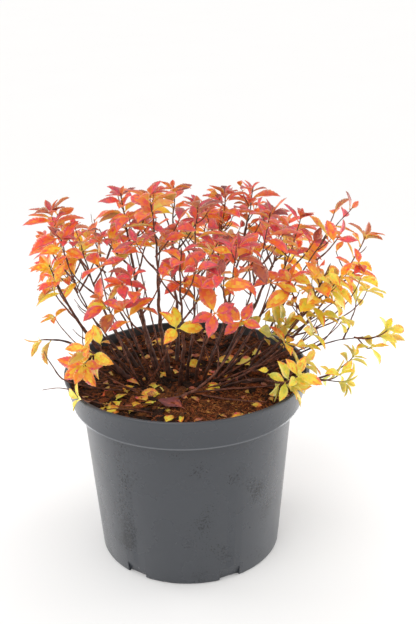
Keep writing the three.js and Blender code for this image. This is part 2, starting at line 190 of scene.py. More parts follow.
# Each cane: its tip, its habit, the leaves on its leader, its side twigs, the tint of its leaves, and how
# full its spray is of spurs and of leaves between those of the rule.
CANES = [
    ((-98, 5, 275), "upright", 9, 3, "coral", 0.6),
    ((-98, -15, 239), "upright", 8, 2, "amber", 0.5),
    ((-86, 42, 252), "upright", 8, 4, "coral", 0.2),
    ((-80, 95, 246), "upright", 9, 4, "crimson", 0.3),
    ((-46, 18, 284), "upright", 9, 3, "coral", 0.8),
    ((-22, -22, 294), "upright", 8, 3, "coral", 0.3),
    ((-9, 62, 277), "upright", 9, 4, "orange", 0.25),
    ((11, -22, 285), "upright", 8, 3, "crimson", 0.5),
    ((32, 30, 280), "upright", 8, 3, "coral", 0.8),
    ((53, 52, 277), "upright", 8, 4, "crimson", 0.8),
    ((63, -20, 278), "upright", 8, 3, "crimson", 0.45),
    ((90, 34, 260), "upright", 8, 3, "crimson", 0.9),
    ((124, 2, 274), "arching", 7, 2, "coral", 0.4),
    ((137, 14, 249), "upright", 9, 2, "orange", 1.6),
    ((105, -28, 240), "upright", 8, 3, "amber", 3.2),
    ((155, -5, 174), "low", 8, 2, "lime", 0.35),
    ((77, -60, 160), "low", 7, 2, "yellow", 0.6),
    ((118, -42, 154), "low", 7, 2, "lime", 0.35),
    ((26, -42, 210), "arching", 8, 2, "crimson", 0.15),
    ((-72, -45, 178), "low", 7, 1, "amber", 0.5),
    ((-62, -22, 215), "arching", 8, 2, "crimson", 0.15),
    ((-37, -35, 237), "upright", 8, 2, "coral", 0.4),
    ((-112, 0, 174), "low", 6, 1, "amber", 0.02),
    ((0, -48, 261), "upright", 8, 3, "coral", 0.5),
    ((39, -46, 262), "upright", 8, 3, "crimson", 0.5),
    ((76, -14, 189), "arching", 8, 2, "yellow", 2.6),
    ((16, 106, 243), "upright", 9, 4, "coral", 0.8),
    ((84, 84, 240), "upright", 9, 4, "orange", 1),
    ((-104, 60, 230), "upright", 9, 4, "orange", 0.6),
]

# Autumn tints in the order that a leaf turns through them, from the ripest to the greenest.
TINTS = [
    ("dusky_maroon", 0xA4544F),
    ("wine_red", 0xB24A57),
    ("deep_crimson", 0xC44458),
    ("crimson", 0xD8485C),
    ("rose_red", 0xE4505C),
    ("coral", 0xEA5D46),
    ("red_orange", 0xEC6A32),
    ("orange", 0xEC7C2A),
    ("bright_orange", 0xEE9330),
    ("amber", 0xEDA22B),
    ("golden", 0xF0B935),
    ("yellow", 0xEDCE42),
    ("yellow_lime", 0xDCCD48),
    ("lime", 0xC4C044),
    ("leaf_green", 0xB6B848),
]
# Duller leaves pass through fewer tints, browner ones.
DULL_TINTS = [
    ("plum", 0x6E3638),
    ("brown_maroon", 0x8C4742),
    ("russet", 0xA85A44),
    ("bronze", 0xB0643E),
    ("ochre", 0xC7963E),
    ("olive_gold", 0xC3A945),
]
DULL_SHARE = {"least": 0.07, "aloft": 0.13}     # low on the shrub, and how much more at its top
TINT_STEPS = 2      # shades from one tint to the next
FULL_YELLOW = 10.6  # the place in TINTS past which a leaf hardly turns any further towards green
# Where in TINTS a shoot's leaves stand, each about as ripe as the name says.
TINT_OF = {
    "crimson": 5.2, "coral": 5.9, "orange": 7.2, "amber": 8.8, "gold": 10.6, "yellow": 11.8, "lime": 13.4}


# ---- Colours, nodes and materials ----
def linear(hex_code):
    """An sRGB hex value as linear colour."""
    parts = [((hex_code >> shift) & 255) / 255 for shift in (16, 8, 0)]
    return opaque(p / 12.92 if p <= 0.04045 else ((p + 0.055) / 1.055) ** 2.4 for p in parts)


def opaque(rgb, light=1.0):
    """Red, green and blue, made lighter or darker, as a colour of four parts."""
    return (*(min(1.0, part * light) for part in rgb), 1.0)


def blend(first, second, share):
    """The colour this far from the first to the second."""
    return tuple(a + (b - a) * share for a, b in zip(first, second))


def add_node(tree, kind, inputs=None, **settings):
    """A new node with its settings; an input is a value, or the socket that feeds it."""
    made = tree.nodes.new(kind)
    for key, value in settings.items():
        setattr(made, key, value)
    for key, value in (inputs or {}).items():
        if isinstance(value, bpy.types.NodeSocket):
            tree.links.new(value, made.inputs[key])
        else:
            made.inputs[key].default_value = value
    return made


def new_material(name, **shader):
    """A material with one Principled shader, its sockets set by name, and the places on the piece that its
    patterns are drawn by."""
    material = bpy.data.materials.new(name)
    material.use_nodes = True
    tree = material.node_tree
    tree.nodes.clear()
    output = add_node(tree, "ShaderNodeOutputMaterial")
    inputs = {key.replace("_", " ").title(): value for key, value in shader.items()}
    inputs = {key.replace("Ior", "IOR"): value for key, value in inputs.items()}
    surface = add_node(tree, "ShaderNodeBsdfPrincipled", inputs)
    tree.links.new(surface.outputs["BSDF"], output.inputs["Surface"])
    return material, tree, surface, add_node(tree, "ShaderNodeTexCoord").outputs["Object"]


def per_metre(size_mm):
    """Noise scale whose features are this many millimetres across."""
    return 1 / (size_mm * MM)


def pot_plastic(name, colour, gloss):
    """Recycled black polypropylene, injection moulded: a satin charcoal skin, faintly cloudy, with dried
    water marks and specks of dirt that dull it, and a pale painted highlight along the collar's bead."""
    material, tree, surface, place = new_material(name, ior=1.49)
    cloud = add_node(tree, "ShaderNodeTexNoise", {
        "Vector": place, "Scale": per_metre(45), "Detail": 4.0, "Roughness": 0.6})
    marks = add_node(tree, "ShaderNodeTexNoise", {
        "Vector": place, "Scale": per_metre(1.5), "Detail": 2.0, "Roughness": 0.7})
    clusters = add_node(tree, "ShaderNodeTexNoise", {
        "Vector": place, "Scale": per_metre(34), "Detail": 1.0})
    crowded = add_node(tree, "ShaderNodeMath", {
        0: marks.outputs["Fac"], 1: clusters.outputs["Fac"]}, operation="ADD")
    specks = add_node(tree, "ShaderNodeMapRange", {
        "Value": crowded.outputs["Value"], "From Min": 1.2, "From Max": 1.26, "To Max": 0.8})
    # They cling below the collar, which sheds the drips.
    height = add_node(tree, "ShaderNodeSeparateXYZ", {"Vector": place})
    below = add_node(tree, "ShaderNodeMath", {
        0: height.outputs["Z"], 1: (COLLAR_FOOT - 6) * MM}, operation="LESS_THAN")
    specks = add_node(tree, "ShaderNodeMath", {
        0: specks.outputs["Result"], 1: below.outputs["Value"]}, operation="MULTIPLY")
    tone = add_node(tree, "ShaderNodeMix", {
        0: cloud.outputs["Fac"], 6: opaque(colour), 7: opaque(colour, 1.25)}, data_type="RGBA")
    dirt = add_node(tree, "ShaderNodeMix", {
        0: specks.outputs["Value"], 6: tone.outputs[2], 7: linear(0x15161A)}, data_type="RGBA")
    # A pale band is painted along the collar's bead as a highlight.
    off_bead = add_node(tree, "ShaderNodeMath", {
        0: height.outputs["Z"], 1: (COLLAR_FOOT + 0.5) * MM}, operation="SUBTRACT")
    off_bead = add_node(tree, "ShaderNodeMath", {0: off_bead.outputs["Value"]}, operation="ABSOLUTE")
    bead_highlight = add_node(tree, "ShaderNodeMapRange", {
        "Value": off_bead.outputs["Value"], "From Min": 0.4 * MM, "From Max": 0.8 * MM,
        "To Min": 0.5, "To Max": 0.0})
    with_bead_highlight = add_node(tree, "ShaderNodeMix", {
        0: bead_highlight.outputs["Result"], 6: dirt.outputs[2], 7: linear(0x7C7E82)}, data_type="RGBA")
    tree.links.new(with_bead_highlight.outputs[2], surface.inputs["Base Color"])
    dull = add_node(tree, "ShaderNodeMapRange", {
        "Value": cloud.outputs["Fac"], "From Min": 0.3, "From Max": 0.7,
        "To Min": gloss[0], "To Max": gloss[1]})
    tree.links.new(dull.outputs["Result"], surface.inputs["Roughness"])
    # Moulding orange peel is about 0.6 mm; drawn at 1.5 mm so that it shows.
    peel = add_node(tree, "ShaderNodeTexNoise", {
        "Vector": place, "Scale": per_metre(1.5), "Detail": 2.0})
    bump = add_node(tree, "ShaderNodeBump", {
        "Height": peel.outputs["Fac"], "Strength": 0.12, "Distance": 0.2 * MM})
    tree.links.new(bump.outputs["Normal"], surface.inputs["Normal"])
    return material


def potting_mix(name, dark, light, grain_mm):
    """Damp composted bark, peat and coir: matt crumbs of many browns, with painted shade in the hollows."""
    material, tree, surface, place = new_material(name, roughness=0.93, specular_ior_level=0.25)
    crumb_grains_and_shade = add_node(tree, "ShaderNodeTexNoise", {
        "Vector": place, "Scale": per_metre(grain_mm), "Detail": 5.0, "Roughness": 0.65})
    # The noise that raises the bump also lightens the colour: crumbs of many browns, and the hollows painted
    # dark as shade.
    ramp = add_node(tree, "ShaderNodeMapRange", {
        "Value": crumb_grains_and_shade.outputs["Fac"], "From Min": 0.42, "From Max": 0.61})
    tone = add_node(tree, "ShaderNodeMix", {
        0: ramp.outputs["Result"], 6: linear(dark), 7: linear(light)}, data_type="RGBA")
    tree.links.new(tone.outputs[2], surface.inputs["Base Color"])
    bump = add_node(tree, "ShaderNodeBump", {
        "Height": crumb_grains_and_shade.outputs["Fac"], "Strength": 0.8, "Distance": 0.6 * MM})
    tree.links.new(bump.outputs["Normal"], surface.inputs["Normal"])
    return material


def young_bark(name, dark, light, patch_mm, base_shade):
    """Thin young bark, grown: smooth purplish brown skin that greys and peels a little, painted darker
    towards the mix as shade."""
    material, tree, surface, place = new_material(name, roughness=0.6, specular_ior_level=0.4)
    patches = add_node(tree, "ShaderNodeTexNoise", {
        "Vector": place, "Scale": per_metre(patch_mm), "Detail": 4.0, "Roughness": 0.6})
    ramp = add_node(tree, "ShaderNodeMapRange", {
        "Value": patches.outputs["Fac"], "From Min": 0.4, "From Max": 0.68})
    tone = add_node(tree, "ShaderNodeMix", {
        0: ramp.outputs["Result"], 6: linear(dark), 7: linear(light)}, data_type="RGBA")
    height = add_node(tree, "ShaderNodeSeparateXYZ", {"Vector": place}).outputs["Z"]
    # Painted shade: the bark darkens towards the mix, down to near black.
    shade_full_height, shade_end_height = ((MIX_CROWN_LEVEL + above) * MM for above in (4, 48))
    out_of_shade = add_node(tree, "ShaderNodeMapRange", {
        "Value": height, "From Min": shade_full_height, "From Max": shade_end_height, "To Min": 1 - base_shade})
    skin = add_node(tree, "ShaderNodeMix", {
        0: out_of_shade.outputs["Result"], 6: linear(0x1C0F0A), 7: tone.outputs[2]}, data_type="RGBA")
    tree.links.new(skin.outputs[2], surface.inputs["Base Color"])
    fibres = add_node(tree, "ShaderNodeTexNoise", {
        "Vector": place, "Scale": per_metre(0.7), "Detail": 3.0})
    bump = add_node(tree, "ShaderNodeBump", {
        "Height": fibres.outputs["Fac"], "Strength": 0.35, "Distance": 0.15 * MM})
    tree.links.new(bump.outputs["Normal"], surface.inputs["Normal"])
    return material


def leaf_skin(name, colour, underside=False):
    """A living leaf in autumn: one tint of its turning, satin where the cuticle is waxy, paler and matt
    beneath. Thin, so light passes into it. The colour is plain, because each leaf is dealt its own tints."""
    if underside:
        colour = blend(colour, linear(0xE4CEB8), 0.2)
    material, tree, surface, place = new_material(
        name, base_color=colour, roughness=0.62 if underside else 0.46,
        specular_ior_level=0.3 if underside else 0.42, subsurface_weight=0.45,
        subsurface_scale=2 * MM)
    surface.inputs["Subsurface Radius"].default_value = (1.0, 0.5, 0.25)
    cells = add_node(tree, "ShaderNodeTexNoise", {
        "Vector": place, "Scale": per_metre(1.1), "Detail": 3.0, "Roughness": 0.6})
    bump = add_node(tree, "ShaderNodeBump", {
        "Height": cells.outputs["Fac"], "Strength": 0.3, "Distance": 0.12 * MM})
    tree.links.new(bump.outputs["Normal"], surface.inputs["Normal"])
    return material


@cache
def leaf_skins():
    """One material for each tint's upper side, then one for each tint's underside, made once."""
    shades = shades_of(TINTS) + shades_of(DULL_TINTS)
    upper = [leaf_skin(f"leaf_{name}", colour) for name, colour in shades]
    return upper + [leaf_skin(f"leaf_{name}_beneath", colour, True) for name, colour in shades]


def shades_of(tints):
    """The tints, and the shades that a leaf passes through from each to the next."""
    shades = []
    for (name, code), (_, next_code) in zip(tints, tints[1:]):
        for step in range(TINT_STEPS):
            colour = blend(linear(code), linear(next_code), step / TINT_STEPS)
            shades.append((f"{name}_{step}" if step else name, colour))
    name, code = tints[-1]
    return shades + [(name, linear(code))]


# ---- Meshes ----
class Batch:
    """Gathers many small closed shapes into one mesh, each face with its material's number."""

    def __init__(self):
        self.points, self.faces, self.marks, self.size = [], [], [], 0

    def add(self, points, faces, marks=0):
        """One more closed shape, its faces in groups, with one material's number or one for each face."""
        points = np.asarray(points, float)
        self.points.append(points)
        for group in faces:
            self.faces.extend((np.asarray(group) + self.size).tolist())
        count = sum(len(group) for group in faces)
        self.marks.append(np.broadcast_to(np.asarray(marks, int), (count,)))
        self.size += len(points)

    def piece(self, name, materials, slot, nodes=(), sharp=40):
        """The joined mesh as a piece riding on the plant's one body, and standing for these CAD nodes."""
        piece = self.drawn(name)
        for material in materials:
            piece.data.materials.append(material)
        piece.data.polygons.foreach_set("material_index", np.concatenate(self.marks).astype(np.int32))
        piece.data.shade_smooth()
        piece.data.set_sharp_from_angle(angle=math.radians(sharp))
        piece.data.update()
        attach(piece, "root")
        if nodes:
            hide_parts(*nodes)
        return piece

    def drawn(self, name):
        """The joined mesh as a plain object, in metres."""
        mesh = bpy.data.meshes.new(name)
        mesh.from_pydata(np.vstack(self.points) * MM, [], self.faces)
        made = bpy.data.objects.new(name, mesh)
        bpy.context.scene.collection.objects.link(made)
        return made


def turns(count):
    """The angles of so many points spread evenly round a ring."""
    return np.arange(count) * 2 * math.pi / count


def circle(radius, height, count):
    """A level ring of points round the upright axis."""
    turn = turns(count)
    return np.stack([radius * np.cos(turn), radius * np.sin(turn), np.full(count, height)], -1)


def fan(first, sides, point):
    """Triangles from a ring of points, named by its first one, to one more point."""
    near = np.arange(sides)
    return np.stack([first + near, np.full(sides, point), first + (near + 1) % sides], -1)


def ring_faces(rings, sides):
    """Quads between rings of points, ring by ring."""
    start = np.arange(rings - 1)[:, None] * sides
    near = np.arange(sides)[None, :]
    far = (near + 1) % sides
    return np.stack(
        [start + near, start + sides + near, start + sides + far, start + far], -1
    ).reshape(-1, 4)


def turned_solid(rows, foot, top):
    """Rings of points round the upright axis, from the foot round the outside, closed by a point on it at
    each end."""
    sides, count = len(rows[0]), len(rows) * len(rows[0])
    points = np.vstack([*rows, [[0, 0, foot], [0, 0, top]]])
    caps = np.vstack([fan(0, sides, count), fan(count - sides, sides, count + 1)[:, ::-1]])
    return points, [ring_faces(len(rows), sides)[:, ::-1], caps]


def tube(line, across, radii, sides, relief=1, tip=None):
    """A round limb along a line, closed by a point at each end. Its line and radii are in millimetres, and
    its relief is a factor for the radii, or one for each point."""
    line = np.asarray(line, float)
    rings = len(line)
    along = np.gradient(line, axis=0)
    along /= np.linalg.norm(along, axis=1)[:, None]
    over = np.cross(np.asarray(across, float)[None, :], along)
    over /= np.linalg.norm(over, axis=1)[:, None]
    side = np.cross(along, over)
    turn = turns(sides)
    reach = np.broadcast_to(np.asarray(radii, float)[:, None] * relief, (rings, sides))[..., None]
    spin = np.cos(turn)[None, :, None] * side[:, None] + np.sin(turn)[None, :, None] * over[:, None]
    skin = (line[:, None] + reach * spin).reshape(-1, 3)
    end = line[-1] + along[-1] * (tip or radii[-1] * 1.5)
    points = np.vstack([skin, line[:1], end[None]])
    caps = np.vstack([fan(0, sides, len(skin))[:, ::-1], fan(len(skin) - sides, sides, len(skin) + 1)])
    return points, [ring_faces(rings, sides), caps]


# ---- Seeded growth, by the part's own rule ----
# A common multiplier to part the seeds, and a common linear generator, in words of 32 bits.
PART_SEEDS, TIMES, PLUS, WORD = 2654435761, 1664525, 1013904223, 2**32


def dice(seed, first):
    """The rule's own roll of the dice, from 0 to 1."""
    state = [(seed + first) * PART_SEEDS % WORD]

    def roll():
        state[0] = (state[0] * TIMES + PLUS) % WORD
        return state[0] / WORD

    return roll


def dealt(spread, roll):
    """A random value of a spread: its least, and up to its range more."""
    return spread["least"] + spread["range"] * roll()


def portion(value, start, span):
    """How far a value has come through a span, from 0 to 1."""
    return min(1.0, max(0.0, (value - start) / span))


class Stem:
    """A stretch of stem: a plane curve with a steady sideways direction."""

    def __init__(self, foot, bend, tip, start=0.0, end=1.0):
        self.curve = (foot, bend, tip)
        self.start, self.end = start, end
        self.across = UP.cross(tip - foot).normalized()

    def point(self, share):
        """The place at this share of the stretch."""
        t = self.start + (self.end - self.start) * share
        foot, bend, tip = self.curve
        return foot * (1 - t) ** 2 + bend * (2 * t * (1 - t)) + tip * t**2

    def direction(self, share):
        """The way that the stem runs there."""
        low = min(share, 1 - NUDGE)
        return (self.point(low + NUDGE) - self.point(low)).normalized()

    def length(self):
        """The length of the stretch."""
        spots = [self.point(n / LENGTH_STEPS) for n in range(LENGTH_STEPS + 1)]
        return sum((b - a).length for a, b in zip(spots, spots[1:]))


def mix_level(radius):
    """The mounded level of the mix at this radius, as in the part."""
    share = min(1.0, radius / MIX_EDGE_RADIUS)
    return MIX_CROWN_LEVEL + (MIX_EDGE_LEVEL - MIX_CROWN_LEVEL) * share * share


def mix_heap(x, y):
    """The mix as it lies: its level, heaped up towards the back."""
    share = portion(y, HEAP["from"], HEAP["over"])
    return mix_level(math.hypot(x, y)) + HEAP["height"] * share * share * (3 - 2 * share)


def clear_of_pot(point):
    """Is a point, in millimetres, outside the pot and over the mix with room to spare?"""
    radius = math.hypot(point[0], point[1])
    if radius > RIM_RADIUS + POT_ROOM["beside"]:
        return point[2] > POT_HEIGHT - POT_ROOM["below"]
    if radius < RIM_RADIUS - RIM_LIP - POT_ROOM["beside"]:
        return point[2] > mix_level(radius) + POT_ROOM["above"]
    return point[2] > POT_HEIGHT + POT_ROOM["above"]


def in_reach(point):
    """Is a point, in millimetres, inside the part's own box?"""
    low, high = CAD_BOX
    return all(low[n] / MM - BOX_SPARE <= point[n] <= high[n] / MM + BOX_SPARE for n in range(3))


def cane_stem(tip, habit):
    """A cane's run from its foot, spread over the mix with the lean of its tip."""
    tip = Vector(tip)
    foot = Vector((
        CLUMP_CENTRE[0] + (tip.x - CLUMP_CENTRE[0]) * CLUMP_SPREAD,
        CLUMP_CENTRE[1] + (tip.y - CLUMP_CENTRE[1]) * CLUMP_SPREAD,
        0,
    ))
    reach = math.hypot(foot.x, foot.y) - CANE["foot"]
    foot.z = mix_level(max(0.0, reach)) + CLEARANCE
    out, rise, _ = HABITS[habit]
    bend = Vector((
        foot.x + (tip.x - foot.x) * out,
        foot.y + (tip.y - foot.y) * out,
        foot.z + (tip.z - foot.z) * rise,
    ))
    return Stem(foot, bend, tip)


def side_twig(leader, share, heading, length, opening=TWIG["opening"]):
    """A side twig leaves its leader at an angle and turns up towards the light."""
    root = leader.point(share)
    along = leader.direction(share)
    sideways = Vector((math.cos(heading), math.sin(heading), 0))
    angle = math.radians(opening)
    away = (along * math.cos(angle) + sideways * math.sin(angle)).normalized()
    bend = root + away * length * TWIG["bend"]
    rising = (away + UP).normalized()
    return Stem(root, bend, bend + rising * length * TWIG["beyond"])


def leaf_at(stem, seat, turn, opening, droop, twist, length, share):
    """A leaf whose stalk leaves a stem at a seat, turned about it and opened out from it."""
    axis = stem.direction(seat)
    over = stem.across.cross(axis).normalized()
    radial = stem.across * math.cos(turn) + over * math.sin(turn)
    along = axis * math.cos(opening) + radial * math.sin(opening) - UP * droop
    along.normalize()
    face = (axis - along * axis.dot(along)).normalized()
    face.rotate(Quaternion(along, twist))
    return {
        "root": stem.point(seat), "axis": axis, "along": along, "face": face,
        "length": length, "share": share,
    }


def leaves_on(stem, count, leafy, roll):
    """Leaves stand round a stem by the golden angle, spread wide low down and closer at its tip."""
    start, scale = leafy
    leaves = []
    phase = roll() * 2 * math.pi
    for n in range(count):
        share = (n + 1) / count
        seat = min(LEAF_SEATS["last"], start + (1 - start) * share ** LEAF_SEATS["crowding"])
        low, high = LEAF_OPENING["low"], LEAF_OPENING["high"]
        opening = math.radians(low + (high - low) * share + LEAF_OPENING["scatter"] * (roll() - 0.5))
        twist = math.radians(LEAF_OPENING["twist"] * (roll() - 0.5))
        size = math.sin(math.pi * (LEAF_SIZE["first"] + LEAF_SIZE["over"] * share))
        size *= dealt(LEAF_SIZE, roll)
        length = LEAF["length"] * scale * size * LIFE_SIZE
        turn = phase + n * GOLDEN_ANGLE
        leaves.append(leaf_at(stem, seat, turn, opening, LEAF["droop"], twist, length, share))
    return leaves


def whorl_on(stem, count, kind, roll):
    """The last leaves of a shoot stand round its very tip."""
    phase = roll() * 2 * math.pi
    leaves = []
    for n in range(count):
        opening = kind["opening"] if n else kind["first"]
        opening = math.radians(opening + kind["scatter"] * (roll() - 0.5))
        length = kind["length"] * dealt(WHORL_SIZE, roll) * (1 if n else kind["short"])
        turn = phase + n * GOLDEN_ANGLE
        twist = WHORL_TWIST * (roll() - 0.5)
        leaves.append(leaf_at(stem, kind["seat"], turn, opening, kind["droop"], twist, length, 1.0))
    return leaves


def grow(seed):
    """Every cane with its leader, its side twigs and their leaves, as the part's source grows them."""
    plants = []
    for index, (tip, habit, leaf_count, twig_count, tint, fullness) in enumerate(CANES):
        stem = cane_stem(tip, habit)
        split = HABITS[habit][2]
        roll = dice(index, seed)
        girth = dealt(GIRTH, roll)
        leader = Stem(*stem.curve, split, 1.0)
        shoots = [{"stem": leader, "leaves": leaves_on(leader, leaf_count, LEAFY["leader"], roll)}]
        heading = roll() * 2 * math.pi
        for n in range(twig_count):
            share = TWIG_PLACES["first"] + (
                TWIG_PLACES["over"] * (n + roll() * TWIG_PLACES["scatter"])) / twig_count
            turn = heading + n * GOLDEN_ANGLE
            length = TWIG_LENGTH["longest"] * (1 - TWIG_LENGTH["shortening"] * share)
            length *= dealt(TWIG_LENGTH, roll)
            twig = side_twig(leader, share, turn, length)
            count = TWIG_LEAVES["least"] + math.floor(TWIG_LEAVES["range"] * roll())
            shoots.append({"stem": twig, "leaves": leaves_on(twig, count, LEAFY["twig"], roll)})
        plants.append({
            "index": index, "habit": habit, "stem": stem, "split": split, "girth": girth, "roll": roll,
            "tint": TINT_OF[tint], "fullness": fullness, "shoots": shoots,
        })
    return plants


class Room:
    """Coarse outlines of all that stands, so that nothing new passes through it."""

    def __init__(self):
        self.trees, self.owners = [], []
        self.lows, self.highs = np.empty((0, 3)), np.empty((0, 3))

    def clear(self, points, faces, owner):
        """Does this outline cross nothing but what its own stem carries?"""
        meets = (self.lows <= points.max(0)).all(1) & (self.highs >= points.min(0)).all(1)
        tree = BVHTree.FromPolygons(points.tolist(), faces)
        return not any(
            self.owners[n] != owner and tree.overlap(self.trees[n]) for n in np.nonzero(meets)[0])

    def add(self, points, faces, owner):
        """One more outline, and what it belongs to."""
        self.trees.append(BVHTree.FromPolygons(points.tolist(), faces))
        self.lows = np.vstack([self.lows, points.min(0)])
        self.highs = np.vstack([self.highs, points.max(0)])
        self.owners.append(owner)


def stem_outline(stem, radius, steps=8):
    """A three-sided rod round a stem, for the room check."""
    line = np.array([stem.point(n / steps) for n in range(steps + 1)])
    points, faces = tube(line, stem.across, np.full(steps + 1, radius), 3)
    return points, faces[0].tolist() + faces[1].tolist()


# ---- One leaf ----
RINGS = 17          # rings of points along the blade
PETIOLE_RINGS = 3
# The points of a ring across the blade, from margin to margin above and back beneath, and then its faces.
ACROSS = np.array([-1, -0.5, 0, 0.5, 1, 0.5, 0, -0.5])
BENEATH = np.array([0, 0, 0, 0, 0, 1, 1, 1])
OUTER = np.array([1, 0, 0, 1, 1, 0, 0, 1])
UNDER_FACES = np.array([0, 0, 0, 0, 1, 1, 1, 1])
BLADE_U = np.linspace(0.012, 0.985, RINGS)
# The blade's outline: how far its widest place lies below the middle, how full it is, the petiole's half
# width in millimetres, how deep the notches between its teeth are, from what width on it has any, and how far
# the teeth lean.
EDGE = {"skew": 0.9, "full": 0.92, "petiole": 0.34, "notch": 0.08, "toothed": 0.3, "lean": 0.3}
# How strongly it bends down, and past what share of its length; how far it twists, in radians; how sharply
# it folds, and how much its margin flares out and waves.
BEND = {"least": 0.3, "range": 1.3, "held": 0.3}
TWISTING = 0.5
FOLD = {"least": 0.6, "range": 0.8, "flare": 0.10}
WAVE = {"height": 0.07, "count": 1.6}
# Relief in millimetres: the quilting between the veins, the midrib beneath and the round of the petiole.
QUILT, MIDRIB, PETIOLE_ROUND = 0.13, 0.16, 0.3
TIP = {"ahead": 0.03, "down": 0.02}
CHANCES = 8         # random values that tell one leaf from another
# The coarse outline for the room check: places along the blade and its width there, and then its tip.
OUTLINE = ((0.12, 0.05), (0.35, 0.95), (0.6, 0.95), (0.85, 0.5))
OUTLINE_TIP = {"at": 0.99, "fall": 0.2}
OUTLINE_BEND = 0.95
OUTLINE_FACES = [face for c in (0, 1, 3, 4, 6, 7) for face in ([c, c + 3, c + 4], [c, c + 4, c + 1])]
OUTLINE_FACES += [[9, 12, 10], [10, 12, 11]]


def leaf_mesh(leaf, shrub, chance):
    """A closed thin blade on a short petiole: folded along its midrib, toothed, quilted between its veins,
    and drooping to its tip. Returns its points, its faces and each ring's place along the blade."""
    length = leaf["length"]
    petiole = shrub.petiole * length
    blade = length - petiole
    half = shrub.leaf_width * length / 2 * leaf.get("broad", 1.0)
    stalk = np.linspace(0, petiole, PETIOLE_RINGS, endpoint=False)
    along = np.concatenate([stalk, petiole + blade * BLADE_U])
    u = np.concatenate([np.zeros(PETIOLE_RINGS), BLADE_U])
    rings = len(along)
    outline = np.sin(np.pi * u ** EDGE["skew"]) ** EDGE["full"]
    outline[:PETIOLE_RINGS] = 0
    width = np.maximum(half * outline, EDGE["petiole"])
    tooth = np.zeros(rings)
    tooth[PETIOLE_RINGS + 2:-1:2] = 1
    width = width * (1 - EDGE["notch"] * (1 - tooth) * (outline > EDGE["toothed"]))
    # The midrib bends down along its length.
    droop = leaf.get("bow", shrub.leaf_droop) * (BEND["least"] + BEND["range"] * chance[0])
    angle = droop * (along / length - BEND["held"])
    step = np.diff(along, prepend=0)
    forward = np.cumsum(np.cos(angle) * step)
    down = np.cumsum(np.sin(angle) * step)
    roll = (chance[1] - 0.5) * TWISTING * (along / length)
    fold = leaf.get("fold", shrub.leaf_fold) * (FOLD["least"] + FOLD["range"] * chance[2])
    v = ACROSS[None, :]
    swell = outline[:, None]
    lift = np.abs(v) * fold - FOLD["flare"] * v**2 * swell
    wave = WAVE["height"] * np.sin(2 * np.pi * (WAVE["count"] * u + chance[3]))[:, None] * v**2 * np.sign(v)
    height = width[:, None] * (lift + wave)
    thick = shrub.leaf_thickness / MM
    quilt = np.where(np.abs(ACROSS) == 0.5, 1, 0)[None, :] * (2 * tooth - 1)[:, None] * QUILT * swell
    midrib = np.where(ACROSS == 0, 1, 0)[None, :] * MIDRIB * (1 - u)[:, None]
    drop = BENEATH[None, :] * (thick + midrib)
    round_stalk = (outline == 0)[:, None] * (1 - np.abs(v)) * PETIOLE_ROUND * (1 - 2 * BENEATH[None, :])
    height = height + quilt * (1 - (outline == 0))[:, None] - drop + round_stalk
    spread = width[:, None] * v
    spread = spread * np.cos(roll)[:, None] - height * np.sin(roll)[:, None]
    height = width[:, None] * v * np.sin(roll)[:, None] + height * np.cos(roll)[:, None]
    lean = tooth[:, None] * (np.abs(v) == 1) * EDGE["lean"] * blade / RINGS
    ahead = forward[:, None] + lean + height * np.sin(angle)[:, None]
    above = -down[:, None] + height * np.cos(angle)[:, None]
    root = np.array(leaf["root"])
    a, f = np.array(leaf["along"]), np.array(leaf["face"])
    s = np.cross(f, a)
    skin = root + ahead[..., None] * a + above[..., None] * f + spread[..., None] * s
    tip = root + (forward[-1] + TIP["ahead"] * length) * a - (down[-1] + TIP["down"] * length) * f
    sides = len(ACROSS)
    points = np.vstack([skin.reshape(-1, 3), tip[None]])
    tip_cap = fan((rings - 1) * sides, sides, rings * sides)
    root_cap = np.stack([np.zeros(sides - 2, int), np.arange(1, sides - 1), np.arange(2, sides)], -1)
    return points, [ring_faces(rings, sides), tip_cap, root_cap], u


# How tints vary over a blade, in places of TINTS: from its base to its tip; in blotches and finer flecks, by
# waves along and round it; at its margin and its midrib; and in spots, of which a yellow blade has many.
UNEVEN = {"least": 0.9, "range": 1.7, "base": 2.3, "fade": 1.3, "mean": 0.75}
BLOTCH = {"depth": 1.1, "along": 8, "round": 2.3}
FLECK = {"depth": 0.7, "along": 23, "round": 2.6}
MARGIN = {"riper": 1.1, "midrib": 0.8, "range": 1.1, "least": 0.35}
SPOT = {"depth": 2.4, "along": 12.9, "round": 78.2, "shift": 40, "yellow": 9, "many": 0.74, "few": 0.92}
FULL_TURN = 6.3     # a whole turn of a wave, in radians
GREENING = 0.5      # how far a leaf turns past full yellow, as a share of what its tint asks


